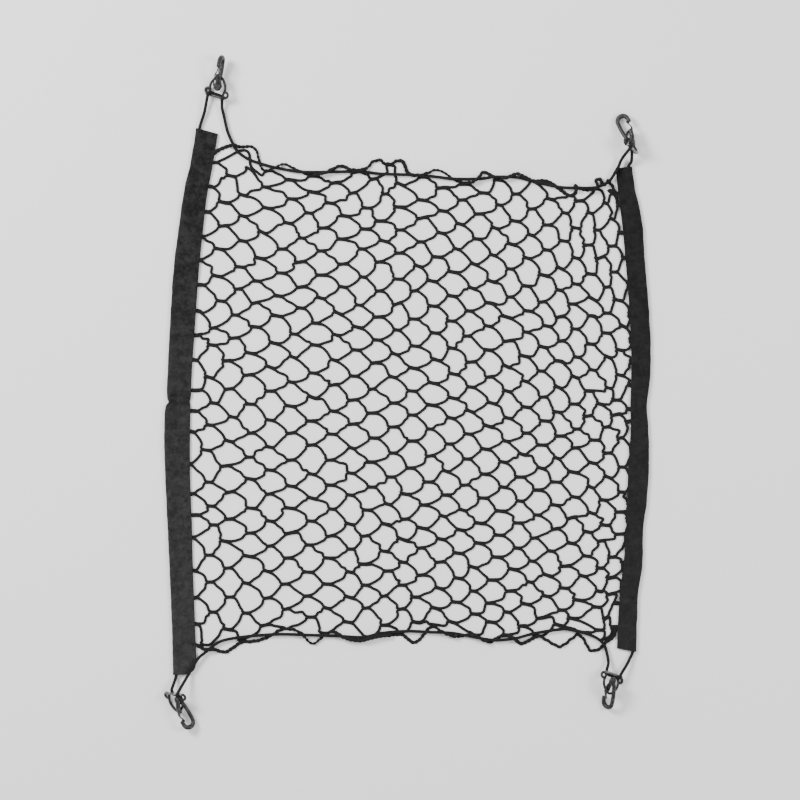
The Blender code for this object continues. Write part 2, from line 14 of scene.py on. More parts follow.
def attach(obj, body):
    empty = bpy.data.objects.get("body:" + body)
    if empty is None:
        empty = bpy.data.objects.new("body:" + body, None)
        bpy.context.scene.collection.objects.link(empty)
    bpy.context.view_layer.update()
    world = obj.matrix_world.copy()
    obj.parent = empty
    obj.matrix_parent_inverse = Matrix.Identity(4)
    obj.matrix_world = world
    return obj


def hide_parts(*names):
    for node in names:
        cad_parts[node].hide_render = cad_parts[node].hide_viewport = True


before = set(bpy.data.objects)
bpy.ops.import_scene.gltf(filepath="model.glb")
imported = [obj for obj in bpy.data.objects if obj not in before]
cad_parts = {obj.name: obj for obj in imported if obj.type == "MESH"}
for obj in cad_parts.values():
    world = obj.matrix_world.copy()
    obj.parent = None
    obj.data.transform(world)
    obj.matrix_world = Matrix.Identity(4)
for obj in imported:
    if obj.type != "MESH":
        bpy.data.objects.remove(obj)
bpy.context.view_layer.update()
MM = 0.001

# ---------------------------------------------------------------------------------------------
# Camera. A long lens straight above the net, square to the floor it lies on, so that hooks and
# net keep one scale. The picture is 800 x 800 and shows a little over a metre of floor.
PICTURE_SIDE = 1027.2
PICTURE_CENTRE = (-9.8, -8.2)
LENS = 200.0
SENSOR = 36.0

lens = bpy.data.cameras.new("long_lens")
lens.lens = LENS
lens.sensor_width = SENSOR
lens.clip_end = 20.0
camera = bpy.data.objects.new("camera", lens)
bpy.context.scene.collection.objects.link(camera)
camera.location = (
    PICTURE_CENTRE[0] * MM,
    PICTURE_CENTRE[1] * MM,
    PICTURE_SIDE * MM * LENS / SENSOR,
)
bpy.context.scene.camera = camera

# ---------------------------------------------------------------------------------------------
# Floor and light. A matt, nearly white studio floor, with two broad lamps high at the sides and
# an even pale surround, so that the black net casts only a faint soft shadow.
FLOOR_SIDE = 6.0
FLOOR_COLOUR = (0.93, 0.93, 0.93)
SURROUND = 0.85


def new_material(name, colour, roughness=0.5, metallic=0.0):
    """A material, and the Principled surface that its other settings go on."""
    made = bpy.data.materials.new(name)
    made.use_nodes = True
    surface = made.node_tree.nodes["Principled BSDF"]
    surface.inputs["Base Color"].default_value = (*colour, 1.0)
    surface.inputs["Roughness"].default_value = roughness
    surface.inputs["Metallic"].default_value = metallic
    return made, surface


def area_lamp(name, place, side, watts):
    """A square lamp that faces the middle of the net."""
    lamp = bpy.data.lights.new(name, "AREA")
    lamp.size = side
    lamp.energy = watts
    holder = bpy.data.objects.new(name, lamp)
    bpy.context.scene.collection.objects.link(holder)
    holder.location = place
    holder.rotation_euler = Vector(place).to_track_quat("Z", "Y").to_euler()


bpy.ops.mesh.primitive_plane_add(size=FLOOR_SIDE)
floor = bpy.context.object
floor.name = "floor"
floor_paper, _ = new_material("floor_paper", FLOOR_COLOUR, roughness=0.9)
floor.data.materials.append(floor_paper)

area_lamp("upper_left_lamp", (-1.9, 1.3, 2.0), 1.0, 110.0)
area_lamp("right_lamp", (2.2, 0.3, 2.2), 1.0, 45.0)
surround = bpy.data.worlds.new("surround")
surround.use_nodes = True
surround.node_tree.nodes["Background"].inputs["Color"].default_value = (1.0, 1.0, 1.0, 1.0)
surround.node_tree.nodes["Background"].inputs["Strength"].default_value = SURROUND
bpy.context.scene.world = surround

# ---------------------------------------------------------------------------------------------
# Elastic cord. Rubber threads in a round black braided cover, and one closed loop: up the left
# sleeve, over the bar of each bail, along both scalloped edges and down the right sleeve. It is 3 mm
# thick and drawn at 4 mm, because a black line on a bright floor looks thinner than it is.
CORD_RADIUS = 2.0
CORD_IN_SLEEVE = 2.8
CORD_FROM_EDGE = 4.6
CORD_SIDES = 14
CORD_STEPS = 6
CORD_BLACK = (0.009, 0.009, 0.0095)
# Painted shade in the braid's grooves and painted highlight on its crests, as shares of its colour
BRAID_GROOVE_SHADE = 0.55
BRAID_CREST_HIGHLIGHT = 1.35
SLEEVE_STEPS = 8
SLEEVE_CORD_STOPS = 30
BAIL_LENGTH = 25.0

# How much higher the corner hardware lies than in the CAD part, since its wires are drawn thicker
CORNER_LIFT = 0.8

# Edges of the two sleeves, a row for each place where the cloth widens, narrows or turns
SleeveRow = namedtuple("SleeveRow", "outer_x outer_y inner_x inner_y")
SLEEVE_LEFT = (
    SleeveRow(-301.3, -361.0, -281.0, -360.3),
    SleeveRow(-301.6, -352.0, -271.9, -348.5),
    SleeveRow(-302.5, -308.0, -272.5, -308.0),
    SleeveRow(-305.8, -226.5, -275.6, -226.5),
    SleeveRow(-308.5, -168.5, -277.0, -168.5),
    SleeveRow(-311.2, -111.0, -279.1, -111.0),
    SleeveRow(-312.8, -58.5, -279.4, -59.5),
    SleeveRow(-311.5, -20.0, -278.8, -18.5),
    SleeveRow(-307.4, -11.0, -279.4, -11.0),
    SleeveRow(-309.2, -3.0, -278.2, -2.0),
    SleeveRow(-308.3, 28.0, -277.0, 28.0),
    SleeveRow(-305.0, 93.0, -272.6, 93.0),
    SleeveRow(-300.6, 161.0, -267.9, 158.5),
    SleeveRow(-293.0, 220.5, -262.1, 215.0),
    SleeveRow(-287.0, 261.5, -257.6, 253.5),
    SleeveRow(-278.2, 300.0, -250.5, 292.0),
    SleeveRow(-271.7, 341.0, -243.5, 333.5),
)
SLEEVE_RIGHT = (
    SleeveRow(293.6, -331.5, 268.8, -327.0),
    SleeveRow(294.5, -297.0, 269.9, -297.0),
    SleeveRow(296.2, -254.7, 272.4, -254.7),
    SleeveRow(301.6, -220.0, 277.0, -220.0),
    SleeveRow(302.5, -175.0, 280.4, -175.0),
    SleeveRow(307.3, -136.5, 281.7, -136.5),
    SleeveRow(310.0, -91.5, 283.5, -91.5),
    SleeveRow(309.3, -46.5, 286.3, -46.5),
    SleeveRow(307.3, -14.5, 285.9, -14.5),
    SleeveRow(311.2, 17.5, 286.8, 15.0),
    SleeveRow(312.2, 62.5, 286.8, 62.5),
    SleeveRow(309.0, 120.0, 284.0, 117.5),
    SleeveRow(304.8, 169.0, 280.1, 166.5),
    SleeveRow(301.0, 221.5, 275.6, 215.0),
    SleeveRow(292.7, 260.0, 270.5, 255.0),
    SleeveRow(288.0, 291.5, 267.0, 289.3),
)

# Where each bail lies. Headings are from +X, a pitch lifts the apex, a roll lifts the left side, and
# the cord leaves at the foot, or at the share cord_out of the way from the middle to it.
BailPlace = namedtuple("BailPlace", "tag apex_x apex_y apex_z heading pitch roll cord_out")
BAILS = (
    BailPlace("tl", -240.5, 405.8, 12.0, 77.6, 12.7, -22.3, 1.0),
    BailPlace("tr", 285.1, 335.9, 5.3, 90.9, -25.6, 60.9, 0.6),
    BailPlace("bl", -294.5, -407.3, 4.1, -80.2, -19.0, 37.9, 0.5),
    BailPlace("br", 257.7, -383.7, 16.0, -101.9, 17.5, -29.1, 1.0),
)

# Cord through a bail, in the bail's own place: in over the crossbar, along it and out under it
CordPoint = namedtuple("CordPoint", "x y z")
THROUGH_BAIL = (
    CordPoint(-3.0, 9.3, 5.2),
    CordPoint(0.4, 8.9, 5.4),
    CordPoint(2.4, 8.1, 4.2),
    CordPoint(3.0, 6.9, 2.3),
    CordPoint(2.5, 5.2, 0.6),
    CordPoint(2.0, 2.5, 0.0),
    CordPoint(2.0, -2.5, -0.1),
    CordPoint(1.7, -5.4, -0.45),
    CordPoint(0.7, -7.2, -0.85),
    CordPoint(-1.4, -8.4, -1.0),
    CordPoint(-4.5, -9.2, -1.1),
)
LEFT_SLEEVE_TO_TL = (
    CordPoint(-264.0, 351.0, 3.6),
    CordPoint(-260.5, 362.0, 5.2),
)
TR_TO_RIGHT_SLEEVE = (CordPoint(286.8, 297.5, 6.5),)
RIGHT_SLEEVE_TO_BR = (
    CordPoint(285.0, -340.0, 4.2),
    CordPoint(281.5, -347.0, 6.2),
)
BL_TO_LEFT_SLEEVE = (CordPoint(-298.6, -368.0, 6.0),)
TOP_RUN = (
    CordPoint(-238.0, 366.0, 5.0),
    CordPoint(-235.8, 356.5, 3.6),
    CordPoint(-231.3, 337.0, 3.9),
    CordPoint(-224.2, 320.5, 3.9),
    CordPoint(-217.8, 310.2, 3.9),
    CordPoint(-207.5, 302.5, 3.9),
    CordPoint(-197.3, 298.0, 3.9),
    CordPoint(-183.0, 293.5, 3.9),
    CordPoint(-167.7, 289.7, 3.9),
    CordPoint(-135.6, 284.5, 3.9),
    CordPoint(-95.8, 284.5, 3.9),
    CordPoint(-60.0, 285.0, 3.9),
    CordPoint(-34.2, 282.0, 3.9),
    CordPoint(5.6, 280.7, 3.9),
    CordPoint(37.7, 278.1, 3.9),
    CordPoint(58.3, 275.6, 3.9),
    CordPoint(93.0, 275.6, 3.9),
    CordPoint(111.0, 278.1, 3.9),
    CordPoint(140.5, 277.4, 3.9),
    CordPoint(158.5, 273.0, 3.9),
    CordPoint(193.0, 265.3, 3.9),
    CordPoint(215.0, 264.0, 3.9),
    CordPoint(241.3, 264.6, 3.9),
    CordPoint(257.3, 271.7, 3.9),
    CordPoint(262.6, 277.6, 5.4),
    CordPoint(266.6, 284.6, 6.6),
    CordPoint(270.6, 291.5, 7.2),
    CordPoint(275.0, 301.5, 8.4),
)
BOTTOM_RUN = (
    CordPoint(257.5, -344.0, 5.5),
    CordPoint(254.5, -328.5, 3.6),
    CordPoint(251.5, -322.0, 3.9),
    CordPoint(243.2, -313.8, 3.9),
    CordPoint(227.7, -307.4, 3.9),
    CordPoint(211.0, -303.5, 3.9),
    CordPoint(198.2, -302.2, 3.9),
    CordPoint(163.5, -307.4, 3.9),
    CordPoint(139.1, -313.8, 3.9),
    CordPoint(114.7, -316.4, 3.9),
    CordPoint(92.9, -313.8, 3.9),
    CordPoint(58.3, -307.4, 3.9),
    CordPoint(31.3, -306.1, 3.9),
    CordPoint(-0.8, -304.8, 3.9),
    CordPoint(-34.2, -307.4, 3.9),
    CordPoint(-56.0, -312.5, 3.9),
    CordPoint(-86.8, -311.2, 3.9),
    CordPoint(-121.5, -309.9, 3.9),
    CordPoint(-161.3, -308.7, 3.9),
    CordPoint(-187.0, -309.9, 3.9),
    CordPoint(-214.0, -312.5, 3.9),
    CordPoint(-235.8, -316.4, 3.9),
    CordPoint(-247.3, -322.1, 3.9),
    CordPoint(-260.8, -333.0, 4.4),
    CordPoint(-268.0, -339.0, 6.1),
    CordPoint(-275.5, -350.0, 6.4),
    CordPoint(-281.5, -361.0, 7.0),
)


def smooth_path(points, steps, closed=False):
    """A soft line through the points, with the given number of steps between two of them."""
    points = np.array(points, float)
    if closed:
        wide = np.vstack([points[-1:], points, points[:2]])
    else:
        wide = np.vstack([points[:1], points, points[-1:]])
    t = (np.arange(steps) / steps)[None, :, None]
    before, start, end, after = (wide[i : len(wide) - 3 + i, None, :] for i in range(4))
    line = start * (2 * t**3 - 3 * t**2 + 1) + end * (3 * t**2 - 2 * t**3)
    line = line + (end - before) * 0.5 * (t**3 - 2 * t**2 + t) + (after - start) * 0.5 * (t**3 - t**2)
    line = line.reshape(-1, points.shape[1])
    return line if closed else np.vstack([line, points[-1:]])


def frame_at(origin, heading, pitch, roll):
    """A place whose X runs along the heading and up by the pitch, rolled about it, in degrees."""
    turn = Matrix.Rotation(math.radians(heading), 4, "Z")
    turn = turn @ Matrix.Rotation(math.radians(-pitch), 4, "Y")
    turn = turn @ Matrix.Rotation(math.radians(roll), 4, "X")
    return Matrix.Translation(origin) @ turn


def bail_frame(place):
    """X runs from the crossbar to the apex, whose wire passes through the hook."""
    apex = Vector((place.apex_x, place.apex_y, place.apex_z + CORNER_LIFT))
    turn = frame_at(Vector(), place.heading, place.pitch, place.roll)
    return Matrix.Translation(apex - turn @ Vector((BAIL_LENGTH, 0.0, 0.0))) @ turn


def sleeve_edges(rows, stations):
    """Points along the outer and the inner edge of a sleeve, from the bottom to the top."""
    outer = smooth_path([(row.outer_x, row.outer_y) for row in rows], SLEEVE_STEPS)
    inner = smooth_path([(row.inner_x, row.inner_y) for row in rows], SLEEVE_STEPS)
    at = np.linspace(0.0, len(outer) - 1.0, stations)
    count = np.arange(len(outer))
    outer = np.stack([np.interp(at, count, outer[:, axis]) for axis in (0, 1)], axis=1)
    inner = np.stack([np.interp(at, count, inner[:, axis]) for axis in (0, 1)], axis=1)
    return outer, inner


def sleeve_cord(rows):
    """The cord's line inside a sleeve, near the folded edge, from the bottom to the top."""
    outer, inner = sleeve_edges(rows, SLEEVE_CORD_STOPS)
    across = (inner - outer) / np.linalg.norm(inner - outer, axis=1, keepdims=True)
    line = outer + across * CORD_FROM_EDGE
    return [(*point, CORD_IN_SLEEVE) for point in line]


def bail_cord(place):
    """The cord through one bail. It leaves at the foot, or at a share of the way out to it."""
    turned = bail_frame(place)
    found = []
    for x, y, z in THROUGH_BAIL:
        found.append(tuple(turned @ Vector((x, y if y > 0.0 else y * place.cord_out, z))))
    return found


def sweep(line, radii, sides, closed, flat):
    """Rings of points round a line, turned as little as possible from one ring to the next, and
    flattened to a share of their width."""
    line = np.array(line, float)
    if closed:
        ahead = np.roll(line, -1, axis=0) - np.roll(line, 1, axis=0)
    else:
        ahead = np.gradient(line, axis=0)
    ahead /= np.linalg.norm(ahead, axis=1, keepdims=True)
    up = np.zeros_like(line)
    held = np.array((0.0, 0.0, 1.0)) if abs(ahead[0][2]) < 0.9 else np.array((1.0, 0.0, 0.0))
    for index, way in enumerate(ahead):
        held = held - way * (held @ way)
        held = held / np.linalg.norm(held)
        up[index] = held
    if closed:
        home = up[0] - ahead[-1] * (up[0] @ ahead[-1])
        twist = math.atan2(np.cross(up[-1], home) @ ahead[-1], up[-1] @ home)
        turns = np.linspace(0.0, twist, len(line))[:, None]
        up = up * np.cos(turns) + np.cross(ahead, up) * np.sin(turns)
    aside = np.cross(ahead, up)
    angles = np.arange(sides) / sides * 2 * math.pi
    ring = up[:, None, :] * (flat * np.cos(angles))[None, :, None]
    ring = ring + aside[:, None, :] * np.sin(angles)[None, :, None]
    return line[:, None, :] + ring * np.array(radii, float).reshape(-1, 1, 1)


def tube_object(name, runs, sides, material, flat=1.0):
    """One mesh of round lines. Each run is its line, its radii and whether it is closed. The UV
    map holds the length along the line, in millimetres, and the share of a turn round it."""
    points, faces, uvs = [], [], []
    base = 0
    for line, radii, closed in runs:
        line = np.array(line, float)
        radii = np.broadcast_to(np.array(radii, float), (len(line),))
        rings = sweep(line, radii, sides, closed, flat)
        count = len(line)
        length = np.concatenate([[0.0], np.cumsum(np.linalg.norm(np.diff(line, axis=0), axis=1))])
        ring = np.arange(count if closed else count - 1)[:, None]
        side = np.arange(sides)[None, :]
        following = (ring + 1) % count
        after = (side + 1) % sides
        quads = [ring * sides + side, following * sides + side]
        quads += [following * sides + after, ring * sides + after]
        quads = np.stack(np.broadcast_arrays(*quads), axis=-1).reshape(-1, 4)
        along = np.append(length, length[-1] + np.linalg.norm(line[0] - line[-1]))
        low = np.broadcast_to(along[:-1][ring], (len(ring), sides))
        high = np.broadcast_to(along[1:][ring], (len(ring), sides))
        here = np.broadcast_to(side / sides, low.shape)
        there = np.broadcast_to((side + 1) / sides, low.shape)
        corner = [(low, here), (high, here), (high, there), (low, there)]
        uvs.append(np.stack([np.stack(pair, axis=-1) for pair in corner], axis=-2).reshape(-1, 2))
        points.append(rings.reshape(-1, 3) * MM)
        faces += (quads + base).tolist()
        if not closed:
            start = np.arange(sides)
            faces += [(start + base).tolist(), (start[::-1] + base + (count - 1) * sides).tolist()]
            uvs.append(np.zeros((2 * sides, 2)))
        base += count * sides
    mesh = bpy.data.meshes.new(name)
    mesh.from_pydata(np.vstack(points).tolist(), [], faces)
    layer = mesh.uv_layers.new(name="length_and_turn")
    layer.data.foreach_set("uv", np.vstack(uvs).astype(np.float32).ravel())
    mesh.polygons.foreach_set("use_smooth", [True] * len(mesh.polygons))
    mesh.materials.append(material)
    made = bpy.data.objects.new(name, mesh)
    bpy.context.scene.collection.objects.link(made)
    return made


def math_node(tree, operation, first, second=None):
    """A node that works on one or two sockets or numbers, and the socket of its result."""
    node = tree.nodes.new("ShaderNodeMath")
    node.operation = operation
    for socket, value in zip(node.inputs, (first, second)):
        if isinstance(value, (int, float)):
            socket.default_value = value
        elif value is not None:
            tree.links.new(value, socket)
    return node.outputs[0]


def colour_by(tree, surface, share, dark, pale):
    """Colours a surface from dark to pale, by a share from 0 to 1."""
    shade = tree.nodes.new("ShaderNodeMix")
    shade.data_type = "RGBA"
    shade.inputs[6].default_value = (*dark, 1.0)
    shade.inputs[7].default_value = (*pale, 1.0)
    tree.links.new(share, shade.inputs[0])
    tree.links.new(shade.outputs[2], surface.inputs["Base Color"])


def raise_by(tree, surface, height, depth):
    """Shades a surface as if it rose with the height, by at most depth mm."""
    bump = tree.nodes.new("ShaderNodeBump")
    bump.inputs["Distance"].default_value = depth * MM
    tree.links.new(height, bump.inputs["Height"])
    tree.links.new(bump.outputs[0], surface.inputs["Normal"])


def braided(name, colour, pitch, carriers, depth):
    """A round braid: two sets of threads that cross, pitch mm apart along it, carriers round it, with
    painted shade in its grooves and a painted highlight on its crests.
    """
    material, surface = new_material(name, colour, roughness=0.75)
    surface.inputs["Specular IOR Level"].default_value = 0.25
    tree = material.node_tree
    place = tree.nodes.new("ShaderNodeUVMap")
    place.uv_map = "length_and_turn"
    parts = tree.nodes.new("ShaderNodeSeparateXYZ")
    tree.links.new(place.outputs[0], parts.inputs[0])
    along = math_node(tree, "MULTIPLY", parts.outputs[0], 2 * math.pi / pitch)
    around = math_node(tree, "MULTIPLY", parts.outputs[1], 2 * math.pi * carriers)
    one = math_node(tree, "SINE", math_node(tree, "ADD", along, around))
    other = math_node(tree, "SINE", math_node(tree, "SUBTRACT", along, around))
    height = math_node(tree, "ABSOLUTE", math_node(tree, "MULTIPLY", one, other))
    raise_by(tree, surface, height, depth)
    # Painted shade in the grooves and a painted highlight on the crests, following the braid's height
    groove_shade = [part * BRAID_GROOVE_SHADE for part in colour]
    high = [part * BRAID_CREST_HIGHLIGHT for part in colour]
    colour_by(tree, surface, height, groove_shade, high)
    return material


tl, tr, bl, br = BAILS
cord_stops = sleeve_cord(SLEEVE_LEFT)
cord_stops += [*LEFT_SLEEVE_TO_TL, *bail_cord(tl), *TOP_RUN, *bail_cord(tr), *TR_TO_RIGHT_SLEEVE]
cord_stops += sleeve_cord(SLEEVE_RIGHT)[::-1]
cord_stops += [*RIGHT_SLEEVE_TO_BR, *bail_cord(br), *BOTTOM_RUN, *bail_cord(bl), *BL_TO_LEFT_SLEEVE]
cord_line = smooth_path(cord_stops, CORD_STEPS, closed=True)
cord_cover = braided("cord_cover", CORD_BLACK, pitch=2.6, carriers=8, depth=0.4)
cord = tube_object("elastic_cord", [(cord_line, CORD_RADIUS, True)], CORD_SIDES, cord_cover)
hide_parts("cord")
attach(cord, "root")

# ---------------------------------------------------------------------------------------------
# Net. Knotless netting of thin elastic yarn, knitted in one piece: yarns run across it in zigzags,
# and where two neighbours meet they lie side by side in a short bar. It lies as it fell on the floor.
CHART_STEP = 1.284
CHART_LEFT = -523.4
CHART_TOP = 505.4

# The yarn lies flat. It is drawn wider than it is, for the same reason as the cord.
YARN_HALF_WIDTH = 2.1
YARN_HALF_HEIGHT = 0.95
YARN_SIDES = 6
YARN_STEPS = 3
YARN_BLACK = (0.009, 0.009, 0.0095)

# The bars: how far their yarns lie from the middle, their half length, and how both vary
YARN_APART = 1.0
BAR_HALF_LENGTH = 4.8
BAR_UNEVEN = 1.2
BAR_ROOM = 0.17
BAR_LEAN = 0.13

# The yarn between two bars: how far it bows out at three places, and its wander and kinks
BowStop = namedtuple("BowStop", "share bow")
BOW_STOPS = (BowStop(0.3, 0.75), BowStop(0.65, 1.0), BowStop(0.84, 0.6))
YARN_WANDER = 0.55
YARN_BOW = 1.9
BOW_UNEVEN = 1.1
KINK_SHARE = 0.16
KINK_SIZE = 2.6

# How high the net lies in the sleeves and over the cord, and how near to them it starts to rise
IN_SLEEVE = 2.05
RISE_TO_SLEEVE = 9.0
OVER_CORD = 6.6
CORD_REACH = 6.0
STEEP_RISE = 2.0
CORD_FINE_STEPS = 30

# The two yarns of each scalloped edge: the length of one twist, and how far it swings out and up
EDGE_TWIST = 11.0
EDGE_APART = 0.95
EDGE_RISE = 0.35
EDGE_STEPS = 7

# How far in from the folded edge of a sleeve the yarns end
YARN_GATHER_LEFT = 14.0
YARN_GATHER_RIGHT = 11.5
SLEEVE_STATIONS = 200

# The chart of the net: a row for each upright column of bars, from left to right, with how far
# across and how far down each bar lies, in chart steps from the chart's top left corner. The bars
# of the first and the last column are half inside the sleeves.
Wale = namedtuple("Wale", "across down")
WALES = (
    Wale((217, 212, 207, 199, 199, 202, 200, 198, 195, 199, 195, 193, 189, 191, 198, 189, 192, 194, 196),
         (162, 187, 212, 236, 260, 285, 312, 335, 360, 390, 411, 432, 464, 494, 515, 537, 570, 598, 624)),
    Wale((231, 222, 223, 219, 217, 221, 213, 212, 209, 214, 210, 206, 209, 211, 214, 209, 210, 213, 205),
         (176, 202, 226, 249, 276, 301, 328, 345, 377, 403, 425, 450, 482, 506, 525, 555, 582, 612, 645)),
    Wale((249, 243, 243, 243, 240, 238, 235, 234, 226, 229, 233, 229, 225, 230, 229, 224, 228, 230, 227),
         (168, 195, 216, 241, 267, 289, 315, 338, 361, 389, 417, 441, 466, 492, 519, 541, 568, 597, 629)),
    Wale((265, 267, 262, 259, 257, 255, 256, 250, 248, 251, 251, 250, 250, 251, 250, 248, 246, 246, 242),
         (187, 208, 232, 258, 281, 303, 327, 353, 375, 404, 433, 457, 479, 508, 533, 556, 583, 613, 640)),
    Wale((290, 291, 288, 282, 281, 279, 278, 274, 270, 270, 270, 270, 270, 269, 270, 270, 267, 267, 265),
         (180, 199, 223, 249, 273, 296, 316, 343, 367, 391, 420, 447, 470, 494, 521, 546, 571, 598, 625)),
    Wale((312, 309, 302, 300, 301, 301, 294, 293, 291, 290, 291, 291, 291, 290, 290, 288, 285, 286, 290),
         (192, 213, 238, 262, 287, 308, 334, 357, 382, 406, 433, 460, 486, 508, 533, 558, 584, 609, 628)),
    Wale((334, 330, 323, 321, 321, 321, 315, 315, 313, 312, 310, 311, 312, 312, 311, 309, 308, 307, 311),
         (183, 203, 228, 251, 275, 298, 323, 345, 373, 397, 421, 445, 474, 498, 521, 545, 572, 596, 617)),
    Wale((353, 345, 341, 343, 343, 338, 336, 334, 333, 333, 332, 330, 330, 332, 330, 328, 327, 327, 323),
         (193, 216, 239, 264, 287, 313, 335, 360, 385, 411, 434, 460, 485, 509, 536, 558, 584, 608, 633)),
    Wale((374, 367, 365, 362, 363, 359, 357, 356, 354, 353, 353, 352, 351, 350, 350, 351, 350, 349, 348),
         (179, 208, 229, 249, 277, 305, 327, 350, 376, 400, 424, 448, 473, 495, 524, 549, 572, 597, 622)),
    Wale((385, 380, 384, 379, 379, 378, 377, 374, 372, 372, 374, 371, 372, 367, 365, 363, 365, 366, 368),
         (194, 221, 241, 262, 291, 317, 340, 363, 389, 413, 438, 462, 487, 510, 536, 564, 585, 608, 637)),
    Wale((400, 398, 400, 399, 398, 397, 397, 395, 393, 394, 393, 393, 391, 388, 385, 384, 388, 384, 384),
         (184, 207, 230, 253, 279, 304, 330, 354, 377, 403, 427, 453, 477, 504, 524, 551, 571, 596, 625)),
    Wale((422, 422, 421, 418, 414, 414, 415, 413, 412, 412, 412, 410, 405, 405, 402, 403, 402, 401, 403),
         (200, 218, 242, 266, 291, 319, 346, 368, 391, 415, 441, 468, 494, 519, 539, 562, 585, 609, 632)),
    Wale((441, 443, 441, 437, 432, 433, 435, 437, 433, 431, 430, 430, 428, 423, 422, 421, 421, 415, 416),
         (188, 211, 233, 257, 281, 306, 333, 360, 383, 405, 429, 456, 482, 505, 528, 548, 575, 597, 622)),
    Wale((462, 460, 457, 453, 452, 451, 452, 454, 453, 451, 449, 446, 445, 443, 441, 440, 439, 435, 434),
         (200, 224, 249, 272, 296, 321, 348, 374, 398, 418, 444, 471, 495, 516, 539, 562, 588, 608, 625)),
    Wale((484, 479, 477, 474, 472, 469, 467, 471, 471, 470, 468, 467, 465, 463, 461, 458, 458, 456, 452),
         (193, 214, 239, 264, 288, 311, 336, 362, 387, 411, 434, 459, 485, 510, 530, 553, 578, 602, 622)),
    Wale((499, 495, 493, 491, 489, 488, 488, 489, 492, 488, 485, 484, 483, 479, 478, 473, 473, 475, 478),
         (205, 228, 255, 281, 303, 326, 350, 377, 403, 426, 449, 474, 498, 523, 543, 567, 591, 614, 635)),
    Wale((516, 515, 511, 510, 510, 507, 508, 506, 507, 508, 506, 503, 503, 500, 499, 496, 492, 489, 491),
         (194, 221, 244, 269, 297, 317, 341, 366, 391, 418, 441, 462, 487, 511, 535, 557, 580, 603, 622)),
    Wale((532, 531, 527, 526, 528, 526, 524, 525, 526, 526, 522, 520, 520, 518, 517, 512, 510, 507, 508),
         (209, 235, 258, 286, 311, 332, 356, 381, 407, 433, 454, 477, 501, 523, 548, 569, 591, 612, 635)),
    Wale((550, 547, 547, 543, 542, 547, 543, 541, 543, 545, 542, 541, 537, 537, 534, 532, 530, 526, 521),
         (199, 225, 250, 275, 302, 326, 347, 371, 397, 421, 445, 468, 490, 515, 538, 561, 582, 604, 626)),
    Wale((565, 564, 560, 559, 559, 561, 558, 558, 557, 560, 557, 556, 555, 555, 551, 547, 546, 540, 537),
         (213, 241, 268, 290, 317, 341, 361, 387, 412, 436, 458, 482, 505, 529, 551, 575, 596, 618, 636)),
    Wale((579, 576, 576, 576, 572, 575, 577, 575, 574, 577, 575, 573, 575, 571, 571, 565, 564, 562, 559),
         (201, 228, 258, 284, 304, 329, 357, 377, 404, 429, 448, 472, 497, 518, 543, 566, 588, 610, 625)),
    Wale((590, 588, 591, 593, 591, 591, 593, 589, 588, 595, 593, 591, 592, 588, 587, 583, 578, 571, 580),
         (213, 245, 274, 299, 316, 344, 370, 391, 416, 440, 463, 487, 513, 532, 556, 576, 600, 618, 632)),
    Wale((605.5, 597, 600, 607, 607, 606, 608, 609, 600, 606, 608, 608, 603, 605, 601, 600, 599, 597, 600),
         (203, 230, 258, 287, 313, 333, 357, 388, 404, 427, 453, 477, 500, 525, 541, 568, 591, 607, 630)),
    Wale((612, 612, 614, 618, 623, 620, 620, 616, 615, 620, 622, 622, 620, 620, 612, 610, 611, 606, 604),
         (219, 246, 272, 300, 326, 350, 375, 400, 415, 438, 467, 492, 512, 534, 557, 578, 594, 618, 640)),
    Wale((619, 620, 624, 629, 631, 631, 632, 630, 629, 628, 631, 630, 628, 626, 625, 623, 622, 615, 613),
         (205, 233, 258, 284, 314, 341, 362, 385, 409, 422, 449, 480, 503, 520, 545, 563, 585, 603, 627)),
)

# One more bar in every second column, hard under the top edge. The yarn that runs through them
# starts above the first four columns, so its start is given too. Then come the two scalloped edges.
ChartPoint = namedtuple("ChartPoint", "across down")
UNDER_TOP_EDGE = (
    ChartPoint(222, 161), ChartPoint(268, 171), ChartPoint(312, 176), ChartPoint(356, 172),
    ChartPoint(391, 165), ChartPoint(423, 177), ChartPoint(465, 184), ChartPoint(499, 180),
    ChartPoint(535, 182), ChartPoint(571, 195), ChartPoint(598, 189), ChartPoint(610.5, 190),
)
FIRST_YARN_SKIPS = 4
FIRST_YARN = (
    ChartPoint(203, 165), ChartPoint(213, 163.5), ChartPoint(222, 160), ChartPoint(230, 156),
    ChartPoint(238, 151.5), ChartPoint(246, 150.5), ChartPoint(249.5, 155), ChartPoint(250, 163),
    ChartPoint(252, 168), ChartPoint(257, 172), ChartPoint(262, 175.5), ChartPoint(265, 172),
    ChartPoint(272, 171),
)
